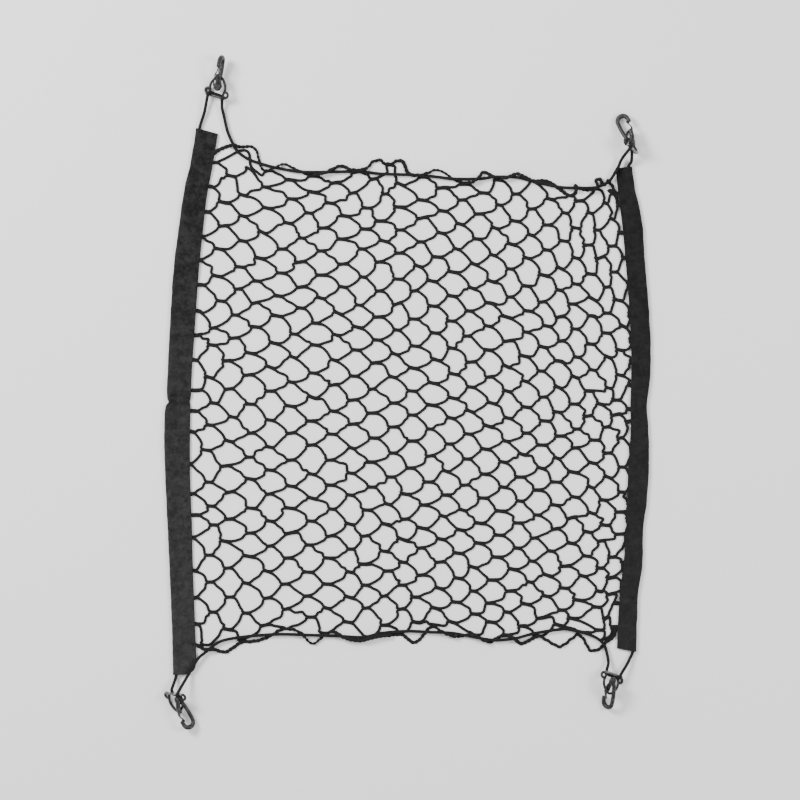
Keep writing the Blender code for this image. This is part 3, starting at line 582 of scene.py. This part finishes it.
TOP_EDGE = (
    ChartPoint(203, 157), ChartPoint(213, 154), ChartPoint(221, 149), ChartPoint(232, 145.5),
    ChartPoint(242, 147), ChartPoint(250, 146.5), ChartPoint(256, 150), ChartPoint(259, 160),
    ChartPoint(262, 169), ChartPoint(268, 170.5), ChartPoint(275, 168), ChartPoint(284, 164),
    ChartPoint(293, 168), ChartPoint(303, 172.5), ChartPoint(313, 175), ChartPoint(325, 173),
    ChartPoint(334, 168.5), ChartPoint(342, 166), ChartPoint(350, 169.5), ChartPoint(359, 170.5),
    ChartPoint(367, 168), ChartPoint(372, 162.5), ChartPoint(379, 160), ChartPoint(385, 163.5),
    ChartPoint(391, 164), ChartPoint(397, 161), ChartPoint(402, 161), ChartPoint(405, 166),
    ChartPoint(408, 173), ChartPoint(416, 175.5), ChartPoint(426, 174), ChartPoint(435, 170),
    ChartPoint(444, 172.5), ChartPoint(453, 179), ChartPoint(462, 182.5), ChartPoint(472, 182.5),
    ChartPoint(478, 178), ChartPoint(484, 172), ChartPoint(491, 175.5), ChartPoint(499, 178.5),
    ChartPoint(508, 177.5), ChartPoint(517, 174), ChartPoint(526, 178), ChartPoint(533, 181),
    ChartPoint(545, 181), ChartPoint(553, 184.5), ChartPoint(562, 191), ChartPoint(570, 196),
    ChartPoint(576, 192), ChartPoint(575, 186), ChartPoint(581, 189), ChartPoint(591, 190.5),
    ChartPoint(597, 187), ChartPoint(596, 181), ChartPoint(600, 179), ChartPoint(602, 184),
    ChartPoint(605, 185), ChartPoint(608, 180.5), ChartPoint(612, 186), ChartPoint(616, 194),
    ChartPoint(618, 203), ChartPoint(628, 208),
)
BOTTOM_EDGE = (
    ChartPoint(186, 644), ChartPoint(196, 644.5), ChartPoint(204.5, 649), ChartPoint(213, 649),
    ChartPoint(225, 652), ChartPoint(234, 647), ChartPoint(242, 642), ChartPoint(252, 641.5),
    ChartPoint(262, 639.5), ChartPoint(272, 635), ChartPoint(280, 630), ChartPoint(290, 629),
    ChartPoint(301, 632.5), ChartPoint(308, 641), ChartPoint(314, 643.5), ChartPoint(320, 639),
    ChartPoint(326, 633.5), ChartPoint(334, 631.5), ChartPoint(345, 637.5), ChartPoint(359, 640.5),
    ChartPoint(368, 638.5), ChartPoint(379, 636), ChartPoint(390, 635), ChartPoint(402, 634.5),
    ChartPoint(409, 640), ChartPoint(415, 642.5), ChartPoint(422, 637), ChartPoint(429, 628),
    ChartPoint(435, 627), ChartPoint(443, 632), ChartPoint(453, 636), ChartPoint(461, 636.5),
    ChartPoint(468, 634.5), ChartPoint(477, 636.5), ChartPoint(489, 642), ChartPoint(497, 638),
    ChartPoint(505, 635), ChartPoint(513, 637.5), ChartPoint(521, 643.5), ChartPoint(530, 640),
    ChartPoint(539, 636), ChartPoint(549, 641.5), ChartPoint(560, 646.5), ChartPoint(570, 640),
    ChartPoint(578, 634.5), ChartPoint(584, 640), ChartPoint(590, 650), ChartPoint(599, 649),
    ChartPoint(606, 642), ChartPoint(613, 637), ChartPoint(617, 628), ChartPoint(626, 627),
)


def from_chart(across, down):
    """Where a place of the chart lies on the floor."""
    return np.array((CHART_LEFT + CHART_STEP * across, CHART_TOP - CHART_STEP * down))


def edge_at(line, height):
    """The x of a sleeve's edge at one height."""
    return float(np.interp(height, line[:, 1], line[:, 0]))


left_outer, left_inner = sleeve_edges(SLEEVE_LEFT, SLEEVE_STATIONS)
right_outer, right_inner = sleeve_edges(SLEEVE_RIGHT, SLEEVE_STATIONS)

# Bars of every column from the top down. Those of the first, third and so on lie half a bar higher.
columns = [[from_chart(*place) for place in zip(wale.across, wale.down)] for wale in WALES]
top_bars = [from_chart(*place) for place in UNDER_TOP_EDGE]


def bars_of(yarn):
    """The bars that one yarn passes through, and whether it lies on their upper side."""
    found = []
    for index, column in enumerate(columns):
        high = index % 2 == 0
        course = math.ceil(yarn / 2) if high else math.floor(yarn / 2)
        place = top_bars[index // 2] if course < 0 else column[course]
        found.append((place, (yarn % 2 != 0) == high))
    return found


def slopes():
    """The lean of each bar and the room it has between its neighbours, by its place, as means over
    the two yarns that run through it."""
    ways = {}
    for yarn in range(-1, 2 * len(columns[0]) - 1):
        bars = bars_of(yarn)
        for index in range(len(bars)):
            way = bars[min(index + 1, len(bars) - 1)][0] - bars[max(index - 1, 0)][0]
            ways.setdefault(tuple(bars[index][0]), []).append((math.atan2(way[1], way[0]), abs(way[0])))
    return {place: np.mean(found, axis=0) for place, found in ways.items()}


chance = random.Random(19)
lean = slopes()
bar_ends = {}
for place, (turn, room) in lean.items():
    turn += chance.gauss(0.0, BAR_LEAN)
    half = min(BAR_HALF_LENGTH, BAR_ROOM * room) + chance.uniform(-BAR_UNEVEN, BAR_UNEVEN)
    bar_ends[place] = (half * math.cos(turn), half * math.sin(turn), -math.sin(turn), math.cos(turn))


def sleeve_lift(x, y):
    """How high the net lies: on the floor, and up between the two layers of cloth at the sides."""
    beyond = max(edge_at(left_inner, y) - x, x - edge_at(right_inner, y))
    share = min(1.0, max(0.0, (beyond + RISE_TO_SLEEVE) / RISE_TO_SLEEVE))
    return YARN_HALF_HEIGHT + (IN_SLEEVE - YARN_HALF_HEIGHT) * share * share * (3 - 2 * share)


def free_yarn(start, end):
    """Points of the yarn between two bars. It leaves the left one in line with it, bows out to the
    right and meets the right one steeply."""
    start, end = np.array(start), np.array(end)
    way = end - start
    bow = np.array((abs(way[1]), -way[0] if way[1] > 0 else way[0])) / np.linalg.norm(way)
    kink = chance.choice((-KINK_SIZE, KINK_SIZE)) if chance.random() < KINK_SHARE else 0.0
    kinked = chance.randrange(len(BOW_STOPS))
    depth = chance.gauss(YARN_BOW, BOW_UNEVEN)
    stops = []
    for index, stop in enumerate(BOW_STOPS):
        wander = np.array((chance.gauss(0.0, YARN_WANDER), chance.gauss(0.0, YARN_WANDER)))
        aside = depth * stop.bow + (kink if index == kinked else 0.0)
        stops.append(tuple(start + way * stop.share + bow * aside + wander))
    return stops


def yarn_stops(yarn):
    """The line of one yarn: in from the left sleeve, along each of its bars, into the right one."""
    bars = bars_of(yarn)
    start, end = bars[0][0], bars[-1][0]
    stops = [(edge_at(left_outer, start[1]) + YARN_GATHER_LEFT, start[1])]
    if yarn < 0:
        stops = [tuple(from_chart(*place)) for place in FIRST_YARN]
        bars = bars[FIRST_YARN_SKIPS:]
    for place, upper in bars:
        side = YARN_APART if upper else -YARN_APART
        reach_x, reach_y, up_x, up_y = bar_ends[tuple(place)]
        low = (place[0] - reach_x + up_x * side, place[1] - reach_y + up_y * side)
        high = (place[0] + reach_x + up_x * side, place[1] + reach_y + up_y * side)
        if len(stops) > 1:
            stops += free_yarn(stops[-1], low)
        stops += [low, high]
    stops.append((edge_at(right_outer, end[1]) - YARN_GATHER_RIGHT, end[1]))
    return stops


def cord_crossings(line, cord_run):
    """How near the cord each point of an edge comes, as a share, and how often the edge has crossed
    the cord up to there."""
    cord_way = smooth_path(cord_run, CORD_FINE_STEPS)[:, :2]
    reach, crossed = [], []
    turn, side_before = 0, None
    for point in line:
        away = point - cord_way
        nearest = int(np.argmin((away**2).sum(axis=1)))
        low, high = cord_way[max(0, nearest - 1)], cord_way[min(len(cord_way) - 1, nearest + 1)]
        along = (high - low) / np.linalg.norm(high - low)
        side = along[0] * away[nearest][1] - along[1] * away[nearest][0] > 0
        turn += side_before is not None and side != side_before
        side_before = side
        reach.append(max(0.0, 1.0 - np.linalg.norm(away[nearest]) / CORD_REACH))
        crossed.append(turn)
    return np.array(reach), np.array(crossed)


def edge_runs(chart, cord_run):
    """Two yarns laid round each other along a scalloped edge, over and under the cord by turns."""
    line = smooth_path([from_chart(*place) for place in chart], EDGE_STEPS)
    reach, crossed = cord_crossings(line, cord_run)
    ahead = np.gradient(line, axis=0)
    ahead /= np.linalg.norm(ahead, axis=1, keepdims=True)
    aside = np.stack([-ahead[:, 1], ahead[:, 0]], axis=1)
    length = np.concatenate([[0.0], np.cumsum(np.linalg.norm(np.diff(line, axis=0), axis=1))])
    share = np.clip(reach * STEEP_RISE, 0.0, 1.0)
    lift = (OVER_CORD - YARN_HALF_HEIGHT) * share * share * (3 - 2 * share)
    # A point between two crossings belongs to the nearer one, and every second one passes over.
    crossings = np.flatnonzero(np.diff(crossed))
    nearer = np.abs(np.arange(len(line))[:, None] - crossings[None, :]).argmin(axis=1)
    lift = lift * (nearer % 2 == 0)
    ground = np.array([sleeve_lift(x, y) for x, y in line])
    made = []
    for start in (0.0, math.pi):
        angle = length / EDGE_TWIST * 2 * math.pi + start
        plan = line + aside * (EDGE_APART * np.cos(angle))[:, None]
        height = ground + lift + EDGE_RISE * (1 + np.sin(angle))
        made.append((np.column_stack([plan, height]), YARN_HALF_WIDTH, False))
    return made


runs = []
for yarn in range(-1, 2 * len(columns[0]) - 1):
    line = smooth_path(yarn_stops(yarn), YARN_STEPS)
    lifted = [(x, y, sleeve_lift(x, y)) for x, y in line]
    runs.append((lifted, YARN_HALF_WIDTH, False))
runs += edge_runs(TOP_EDGE, TOP_RUN) + edge_runs(BOTTOM_EDGE, BOTTOM_RUN)
net_yarn = braided("net_yarn", YARN_BLACK, pitch=2.4, carriers=2, depth=0.5)
flatness = YARN_HALF_HEIGHT / YARN_HALF_WIDTH
net = tube_object("knitted_net", runs, YARN_SIDES, net_yarn, flatness)

# An edge tilts where it rises over the cord, and its low side is pressed flat on the floor.
for point in net.data.vertices:
    point.co.z = max(point.co.z, 0.0)
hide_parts("net")
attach(net, "root")

# ---------------------------------------------------------------------------------------------
# Sleeves. A strip of fine black woven cloth, 0.8 mm thick, is folded round the cord and round the
# side of the net, and its two edges are sewn together through the net. The left one is more worn.
CLOTH_THICK = 0.8
SLEEVE_SLICES = 520
UPPER_LINES = 24
UNDER_LINES = (1.0, 0.66, 0.33)
ROUND_FOLD = 3.6
FOLD_UNEVEN = 0.18
UNDER_HEIGHT = 0.42
LEAST_UPPER = 2.0
EDGE_DROP = 0.5
EDGE_DROP_WIDE = 2.0
WEAVE_REPEAT = 0.9
WEAVE_DEPTH = 0.5
WEAR_BY_AGE = 0.45
WEAR_IN_PATCHES = 0.55

# The yarns inside show through the upper layer from this far in: how high and how wide
NET_SHOWS_FROM = 11.0
NET_SHOWS_OVER = 4.0
YARN_SHOWS = 0.9
YARN_SHOW_WIDE = 2.4
RIDGE_MEAN = 0.45

# The seam near the open edge, and the small waves of the whole strip
SEAM_FROM_EDGE = 3.2
SEAM_HALF_WIDTH = 0.9
SEAM_DEPTH = 0.55
SEAM_PULL = 1.2
PUCKER = 0.28
WAVES = 9
CREASE_FADE = 2.0

# The cloth's colour as dyed, and where it is worn
LEFT_BLACK = (0.003, 0.003, 0.0032)
LEFT_WORN = (0.040, 0.040, 0.040)
RIGHT_BLACK = (0.005, 0.005, 0.0052)
RIGHT_WORN = (0.022, 0.022, 0.022)

# The strip in section: how far in from the folded edge, and how high the middle of the cloth lies
SectionPoint = namedtuple("SectionPoint", "inset height")
ROUND_THE_CORD = (
    SectionPoint(3.4, UNDER_HEIGHT),
    SectionPoint(2.0, 0.62),
    SectionPoint(1.0, 1.25),
    SectionPoint(0.55, 2.3),
    SectionPoint(0.75, 3.4),
    SectionPoint(1.4, 4.4),
    SectionPoint(2.4, 5.05),
    SectionPoint(ROUND_FOLD, 5.25),
)
UPPER_LAYER = (
    SectionPoint(ROUND_FOLD, 5.25),
    SectionPoint(6.0, 5.1),
    SectionPoint(9.0, 4.3),
    SectionPoint(13.0, 3.75),
    SectionPoint(40.0, 3.6),
)

# Creases across a sleeve, by their height on the net, how far they rise towards its inner edge,
# how wide and deep they are and how far in from the fold they start and end.
Crease = namedtuple("Crease", "y rise half_width depth start end")
LEFT_CREASES = (
    Crease(-10.5, 1.5, 2.6, 2.03, 0.0, 30.0),
    Crease(-3.5, -1.0, 1.8, 0.94, 2.0, 26.0),
    Crease(-17.0, 3.0, 2.2, 0.81, 4.0, 30.0),
    Crease(214.0, 9.0, 2.4, 0.68, 3.0, 20.0),
    Crease(128.0, -6.0, 2.6, 0.81, 4.0, 28.0),
    Crease(97.0, 7.0, 2.0, 0.68, 8.0, 30.0),
    Crease(-136.0, 5.0, 2.6, 0.68, 0.0, 18.0),
    Crease(-175.0, -8.0, 2.4, 0.68, 3.0, 24.0),
    Crease(-243.0, 6.0, 2.6, 0.68, 2.0, 22.0),
    Crease(-300.0, -5.0, 2.8, 0.81, 0.0, 24.0),
    Crease(301.0, -4.0, 2.2, 0.54, 4.0, 26.0),
)
RIGHT_CREASES = (
    Crease(-18.5, 0.0, 2.4, 1.22, 0.0, 26.0),
    Crease(-12.0, 2.0, 1.8, 0.68, 0.0, 16.0),
    Crease(-64.0, 2.0, 2.4, 0.81, 2.0, 26.0),
    Crease(-110.0, -2.0, 2.6, 1.08, 0.0, 24.0),
    Crease(-163.0, 1.5, 2.6, 1.22, 0.0, 26.0),
    Crease(-264.0, 3.0, 2.4, 1.22, 4.0, 26.0),
    Crease(191.0, 5.0, 3.4, -0.68, 8.0, 16.0),
    Crease(103.0, -3.0, 2.4, 0.81, 0.0, 20.0),
    Crease(66.0, 2.0, 2.2, 0.81, 2.0, 26.0),
)


def stretched(tree, value, low, high):
    """A value's share of the way from low to high, kept from 0 to 1."""
    share = tree.nodes.new("ShaderNodeMapRange")
    share.inputs["From Min"].default_value = low
    share.inputs["From Max"].default_value = high
    tree.links.new(value, share.inputs["Value"])
    return share.outputs[0]


def woven(name, colour, worn, worn_from, worn_to):
    """Fine plain weave, mottled by wear, and paler towards one end."""
    material, surface = new_material(name, colour, roughness=0.85)
    surface.inputs["Specular IOR Level"].default_value = 0.2
    tree = material.node_tree
    place = tree.nodes.new("ShaderNodeTexCoord")
    parts = tree.nodes.new("ShaderNodeSeparateXYZ")
    tree.links.new(place.outputs["Object"], parts.inputs[0])
    threads = 2 * math.pi / (WEAVE_REPEAT * MM)
    across = math_node(tree, "SINE", math_node(tree, "MULTIPLY", parts.outputs[0], threads))
    upward = math_node(tree, "SINE", math_node(tree, "MULTIPLY", parts.outputs[1], threads))
    weave = math_node(tree, "MULTIPLY", across, upward)
    mottle = tree.nodes.new("ShaderNodeTexNoise")
    mottle.inputs["Scale"].default_value = 110.0
    mottle.inputs["Detail"].default_value = 6.0
    mottle.inputs["Roughness"].default_value = 0.8
    tree.links.new(place.outputs["Object"], mottle.inputs["Vector"])
    height = math_node(tree, "ADD", math_node(tree, "MULTIPLY", weave, 0.35), mottle.outputs["Fac"])
    raise_by(tree, surface, height, WEAVE_DEPTH)
    age = stretched(tree, parts.outputs[1], worn_from * MM, worn_to * MM)
    patch = stretched(tree, mottle.outputs["Fac"], 0.4, 0.62)
    by_age = math_node(tree, "MULTIPLY", age, WEAR_BY_AGE)
    in_patches = math_node(tree, "MULTIPLY", patch, WEAR_IN_PATCHES)
    colour_by(tree, surface, math_node(tree, "ADD", by_age, in_patches), colour, worn)
    return material


def softened(value):
    """0 below 0 and 1 above 1, with a soft step between."""
    value = np.clip(value, 0.0, 1.0)
    return value * value * (3 - 2 * value)


def cloth_relief(inset, width, y, bar_heights, creases, waves):
    """How far the upper layer rises over the yarns inside it, or sinks in its seam and creases."""
    over_net = softened((inset - NET_SHOWS_FROM) / NET_SHOWS_OVER)
    near = np.array(bar_heights)[None, :] - y[:, None]
    ridges = np.exp(-((near / YARN_SHOW_WIDE) ** 2)).sum(axis=1)
    relief = over_net * YARN_SHOWS * (ridges - RIDGE_MEAN)
    from_seam = (width - inset - SEAM_FROM_EDGE) / SEAM_HALF_WIDTH
    relief -= SEAM_DEPTH * np.exp(-(from_seam**2)) * (SEAM_PULL - ridges)
    for crease in creases:
        share = np.clip((inset - crease.start) / (crease.end - crease.start), 0.0, 1.0)
        within = softened((inset - crease.start + CREASE_FADE) / (2 * CREASE_FADE))
        within = within * softened((crease.end + CREASE_FADE - inset) / (2 * CREASE_FADE))
        off = (y - crease.y - crease.rise * share) / crease.half_width
        relief -= crease.depth * within * np.exp(-(off**2))
    for wave_y, wave_x, phase in waves:
        relief += PUCKER / 3 * np.sin(y / wave_y + inset / wave_x + phase)
    return relief


def make_sleeve(name, rows, hidden_bars, creases, seed, material):
    """The folded strip as one sheet: under layer, round the cord, and upper layer."""
    outer, inner = sleeve_edges(rows, SLEEVE_SLICES)
    width = np.linalg.norm(inner - outer, axis=1)
    across = (inner - outer) / width[:, None]
    height = outer[:, 1]
    draw = random.Random(seed)
    waves = []
    for _ in range(WAVES):
        waves.append((draw.uniform(2.2, 7.0), draw.uniform(4.0, 14.0), draw.uniform(0.0, 6.3)))
    bar_heights = [bar[1] for bar in hidden_bars]
    fold = smooth_path(ROUND_THE_CORD, 2)
    sheet_lines = []
    for share in UNDER_LINES:
        inset = ROUND_FOLD + (width - ROUND_FOLD) * share
        sheet_lines.append((inset, np.full_like(width, UNDER_HEIGHT)))
    for inset, rise in fold[:-1]:
        spread = FOLD_UNEVEN * sum(np.sin(height / wave[0] + wave[2]) for wave in waves[:4]) / 2
        sheet_lines.append((inset - spread * min(1.0, rise / 2.0), np.full_like(width, rise)))
    section = np.array(UPPER_LAYER)
    for share in np.linspace(0.0, 1.0, UPPER_LINES):
        inset = ROUND_FOLD + (width - ROUND_FOLD) * share
        rise = np.interp(inset, section[:, 0], section[:, 1])
        rise = rise + cloth_relief(inset, width, height, bar_heights, creases, waves)
        rise -= EDGE_DROP * softened(1.0 - (width - inset) / EDGE_DROP_WIDE)
        sheet_lines.append((inset, np.maximum(rise, LEAST_UPPER)))
    grid = []
    for inset, rise in sheet_lines:
        grid.append(np.column_stack([outer + across * inset[:, None], rise]))
    points = np.stack(grid, axis=1).reshape(-1, 3) * MM
    wide = len(grid)
    ring = np.arange(SLEEVE_SLICES - 1)[:, None] * wide + np.arange(wide - 1)[None, :]
    faces = np.stack([ring, ring + 1, ring + wide + 1, ring + wide], axis=-1).reshape(-1, 4)
    if rows is SLEEVE_RIGHT:
        faces = faces[:, ::-1]
    mesh = bpy.data.meshes.new(name)
    mesh.from_pydata(points.tolist(), [], faces.tolist())
    mesh.polygons.foreach_set("use_smooth", [True] * len(mesh.polygons))
    mesh.materials.append(material)
    made = bpy.data.objects.new(name, mesh)
    bpy.context.scene.collection.objects.link(made)
    thick = made.modifiers.new("cloth", "SOLIDIFY")
    thick.thickness = CLOTH_THICK * MM
    thick.offset = 0.0
    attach(made, "root")
    return made


left_cloth = woven("sleeve_left_cloth", LEFT_BLACK, LEFT_WORN, worn_from=300.0, worn_to=-360.0)
right_cloth = woven("sleeve_right_cloth", RIGHT_BLACK, RIGHT_WORN, worn_from=200.0, worn_to=-500.0)
left_sleeve = make_sleeve("left_sleeve", SLEEVE_LEFT, columns[0], LEFT_CREASES, 5, left_cloth)
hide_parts("sleeve_left")
right_sleeve = make_sleeve("right_sleeve", SLEEVE_RIGHT, columns[-1], RIGHT_CREASES, 8, right_cloth)
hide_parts("sleeve_right")

# ---------------------------------------------------------------------------------------------
# Bails and their bars. At each corner a blackened steel wire, 2.1 mm thick, is bent to a rounded
# triangle, its feet curled into eyes, and a straight rod 2.4 mm thick lies across the two feet.
# Both are drawn at 3.4 mm, which is as wide as they look in the photo.
BAIL_WIRE = 1.7
BAIL_SIDES = 14
BAIL_STEPS = 4
RUB_DEPTH = 0.05
BAIL_BLACK = (0.008, 0.008, 0.0085)
BAIL_RUBBED = (0.03, 0.03, 0.031)
FOOT_X = 4.0
FOOT_Y = 12.9
FOOT_RADIUS = 3.4
FOOT_TURN = 296
FOOT_STEPS = 16
BAR_RADIUS = 1.7
BAR_SIDES = 16
BAR_HALF = 14.0
BAR_X = -0.3
BAR_HEIGHT = 2.25
BAR_ROUNDED = 0.5

# How pale each rod is where its black finish holds, and where it is worn off. The same rods are drawn much
# paler at tr, bl and br than at tl, which is a painted highlight where they catch the light.
BAR_FINISH_AND_HIGHLIGHT = {"tl": (0.012, 0.08), "tr": (0.10, 0.34), "bl": (0.07, 0.24), "br": (0.07, 0.24)}

SidePoint = namedtuple("SidePoint", "x y")
BAIL_SIDE = (
    SidePoint(8.0, 10.6),
    SidePoint(12.0, 10.8),
    SidePoint(15.5, 10.0),
    SidePoint(19.0, 8.0),
    SidePoint(22.3, 5.4),
    SidePoint(24.3, 2.8),
)


def rubbed_metal(name, dark, bright, metallic, roughness):
    """Blackened steel, rubbed paler in streaks and patches a few millimetres long."""
    material, surface = new_material(name, dark, roughness, metallic)
    surface.inputs["Specular IOR Level"].default_value = 0.3
    tree = material.node_tree
    place = tree.nodes.new("ShaderNodeTexCoord")
    patch = tree.nodes.new("ShaderNodeTexNoise")
    patch.inputs["Scale"].default_value = 260.0
    patch.inputs["Detail"].default_value = 3.0
    tree.links.new(place.outputs["Object"], patch.inputs["Vector"])
    colour_by(tree, surface, stretched(tree, patch.outputs["Fac"], 0.42, 0.72), dark, bright)
    raise_by(tree, surface, patch.outputs["Fac"], RUB_DEPTH)
    return material


def placed(turned, line):
    """A line's points, carried to their piece's place."""
    return [tuple(turned @ Vector(point)) for point in line]


def bail_line():
    """The wire of a bail, from the eye of one foot over the apex to the other."""
    half = []
    for step in range(FOOT_STEPS + 1):
        turn = math.radians(-90.0 - FOOT_TURN * (FOOT_STEPS - step) / FOOT_STEPS)
        x = FOOT_X + FOOT_RADIUS * math.cos(turn)
        y = FOOT_Y + FOOT_RADIUS * math.sin(turn)
        half.append((x, y, 0.0))
    side = [(point.x, point.y, 0.0) for point in BAIL_SIDE]
    side = [*side, (BAIL_LENGTH, 0.0, 0.0)]
    bend = smooth_path([half[-1], *side, (side[-2][0], -side[-2][1], 0.0)], BAIL_STEPS)[1:]
    half += [tuple(point) for point in bend[: BAIL_STEPS * len(side)]]
    return half + [(x, -y, z) for x, y, z in half[-2::-1]]


for bail in BAILS:
    turned = bail_frame(bail)
    steel = rubbed_metal("bail_finish_" + bail.tag, BAIL_BLACK, BAIL_RUBBED, metallic=0.0, roughness=0.5)
    wire = placed(turned, bail_line())
    piece = tube_object("wire_bail_" + bail.tag, [(wire, BAIL_WIRE, False)], BAIL_SIDES, steel)
    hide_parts("bail_" + bail.tag)
    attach(piece, "root")

    # Each corner's rod gets its own paleness: its finish, raised by a painted highlight at tr, bl and br
    worn, bare_and_highlit = BAR_FINISH_AND_HIGHLIGHT[bail.tag]
    rod_finish_and_highlight = rubbed_metal("bar_finish_" + bail.tag, (worn,) * 3, (bare_and_highlit,) * 3, metallic=0.5, roughness=0.4)
    reach = (BAR_HALF, BAR_HALF - 0.15, BAR_HALF - BAR_ROUNDED, 0.0)
    radii = (BAR_RADIUS * 0.45, BAR_RADIUS * 0.8, BAR_RADIUS, BAR_RADIUS)
    rod = [(BAR_X, -y, BAR_HEIGHT) for y in reach] + [(BAR_X, y, BAR_HEIGHT) for y in reach[2::-1]]
    run = (placed(turned, rod), [*radii, *radii[2::-1]], False)
    piece = tube_object("bail_bar_" + bail.tag, [run], BAR_SIDES, rod_finish_and_highlight)
    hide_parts("crossbar_" + bail.tag)
    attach(piece, "root")

# ---------------------------------------------------------------------------------------------
# Snap hooks. A thick steel wire is bent to a long hook, and both its ends are set in a cast knob.
# The gate is a hairpin of spring wire that turns in two small bores through the knob's sides.
KNOB_SIZE = (6.1, 4.3, 5.2)
KNOB_STEPS = 16
KNOB_SIDES = 28
KNOB_END = 0.05
TIP_X = 30.5
TIP_Y = 0.8
TIP_RADIUS = 7.0
TIP_WIRE = 2.15
TIP_SWELL = 0.45
TIP_STEPS = 12
HOOK_SIDES = 18
WIRE_STEPS = 4
HOOK_BLACK = (0.010, 0.010, 0.0105)
HOOK_RUBBED = (0.05, 0.05, 0.052)
PIN_RADIUS = 0.8
PIN_REACH = 2.6
GATE_TIP_X = 26.8
GATE_TIP_Y = -3.3
GATE_BEND = 0.95
GATE_STEPS = 8
GATE_SIDES = 10
GATE_DARK = (0.02, 0.02, 0.021)
GATE_RUBBED = (0.12, 0.12, 0.122)

# How much is added to the hook wire's radius, so that it looks as thick as in the photo
HOOK_FULLER = 0.5

HookPlace = namedtuple("HookPlace", "tag knob_x knob_y knob_z heading pitch roll")
HOOKS = (
    HookPlace("tl", -243.6, 393.8, 9.4, 82.0, 11.2, -107.0),
    HookPlace("tr", 286.9, 322.8, 16.8, 110.9, -19.2, -10.9),
    HookPlace("bl", -294.3, -393.4, 10.9, -66.5, -4.5, -24.7),
    HookPlace("br", 262.0, -368.2, 20.4, -102.7, -26.0, 38.6),
)

# The thick wire: from inside the knob along the long side, its nose after the bend, and the stub
WirePoint = namedtuple("WirePoint", "x y z radius")
LONG_SIDE = (
    WirePoint(0.8, 0.9, 0.0, 2.1),
    WirePoint(4.5, 3.9, 0.0, 2.1),
    WirePoint(9.0, 5.3, 0.0, 2.1),
    WirePoint(15.0, 6.5, 0.0, 2.1),
    WirePoint(23.0, 7.5, 0.0, 2.2),
)
NOSE = (
    WirePoint(26.6, -6.7, 0.0, 2.15),
    WirePoint(26.1, -6.8, 0.0, 1.9),
    WirePoint(25.8, -6.85, 0.0, 1.3),
)
STUB = (
    WirePoint(0.6, -0.8, 0.0, 2.1),
    WirePoint(4.5, -2.5, 0.0, 2.25),
    WirePoint(9.0, -3.3, 0.0, 2.3),
    WirePoint(15.0, -4.2, 0.0, 2.3),
    WirePoint(15.6, -4.25, 0.0, 2.0),
    WirePoint(15.8, -4.3, 0.0, 1.4),
)
# One leg of the gate, from the end of its pin to the bend at its tip
LegPoint = namedtuple("LegPoint", "x y z")
GATE_LEG = (
    LegPoint(0.0, 0.0, PIN_REACH),
    LegPoint(0.0, 0.0, 4.9),
    LegPoint(0.25, -0.15, 5.4),
    LegPoint(0.9, -0.5, 5.6),
    LegPoint(3.0, -1.7, 5.3),
    LegPoint(6.5, -3.5, 4.6),
    LegPoint(11.5, -4.9, 3.8),
    LegPoint(15.5, -6.0, 3.2),
    LegPoint(17.2, -6.6, 2.4),
    LegPoint(18.8, -6.6, 1.4),
    LegPoint(20.8, -6.0, 1.0),
    LegPoint(23.5, -4.7, 0.95),
)


def hook_frame(place):
    """X runs from the knob to the tip, and the long side of the hook is on +Y."""
    knob = Vector((place.knob_x, place.knob_y, place.knob_z + CORNER_LIFT))
    return frame_at(knob, place.heading, place.pitch, place.roll)


def wire_run(turned, points):
    """A smooth wire through points that carry their own radius."""
    line = smooth_path(points, WIRE_STEPS)
    return placed(turned, line[:, :3].tolist()), line[:, 3], False


def hook_body(place, material):
    """The bent wire with its stub and its knob, as one mesh."""
    turned = hook_frame(place)
    bow = list(LONG_SIDE)
    for step in range(TIP_STEPS + 1):
        turn = math.radians(90 - 180 * step / TIP_STEPS)
        x = TIP_X + TIP_RADIUS * math.cos(turn)
        y = TIP_Y + TIP_RADIUS * math.sin(turn)
        bow.append(WirePoint(x, y, 0.0, TIP_WIRE + TIP_SWELL * math.cos(turn)))
    bow = [point._replace(radius=point.radius + HOOK_FULLER) for point in [*bow, *NOSE]]
    stub = [point._replace(radius=point.radius + HOOK_FULLER) for point in STUB]
    runs = [wire_run(turned, bow), wire_run(turned, stub)]
    knob, radii = [], []
    for step in range(KNOB_STEPS + 1):
        turn = math.pi * step / KNOB_STEPS
        knob.append((0.0, 0.0, KNOB_SIZE[2] * -math.cos(turn)))
        radii.append(max(KNOB_END, math.sin(turn)))
    made = tube_object("snap_hook_" + place.tag, runs, HOOK_SIDES, material)
    ball = tube_object("knob_" + place.tag, [(knob, radii, False)], KNOB_SIDES, material)
    stretch = Matrix.Diagonal((KNOB_SIZE[0], KNOB_SIZE[1], 1.0, 1.0))
    to_place = Matrix.Translation(turned.to_translation() * MM) @ turned.to_3x3().to_4x4()
    ball.data.transform(to_place @ stretch)
    with bpy.context.temp_override(active_object=made, selected_editable_objects=[made, ball]):
        bpy.ops.object.join()
    return made


def gate_run(turned):
    """The hairpin: up one leg, round the bend at its tip and down the other."""
    line = [*GATE_LEG]
    for step in range(GATE_STEPS + 1):
        turn = math.radians(90 - 180 * step / GATE_STEPS)
        x = GATE_TIP_X + GATE_BEND * math.cos(turn)
        line.append((x, GATE_TIP_Y, GATE_BEND * math.sin(turn)))
    line += [(x, y, -z) for x, y, z in GATE_LEG[::-1]]
    return wire_run(turned, [(*point, PIN_RADIUS) for point in line])


for hook in HOOKS:
    steel = rubbed_metal("hook_finish_" + hook.tag, HOOK_BLACK, HOOK_RUBBED, metallic=0.0, roughness=0.4)
    piece = hook_body(hook, steel)
    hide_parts("hook_" + hook.tag)
    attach(piece, "root")

    spring = rubbed_metal("gate_finish_" + hook.tag, GATE_DARK, GATE_RUBBED, metallic=0.3, roughness=0.4)
    piece = tube_object("spring_gate_" + hook.tag, [gate_run(hook_frame(hook))], GATE_SIDES, spring)
    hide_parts("gate_" + hook.tag)
    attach(piece, "gate_" + hook.tag + "_body")
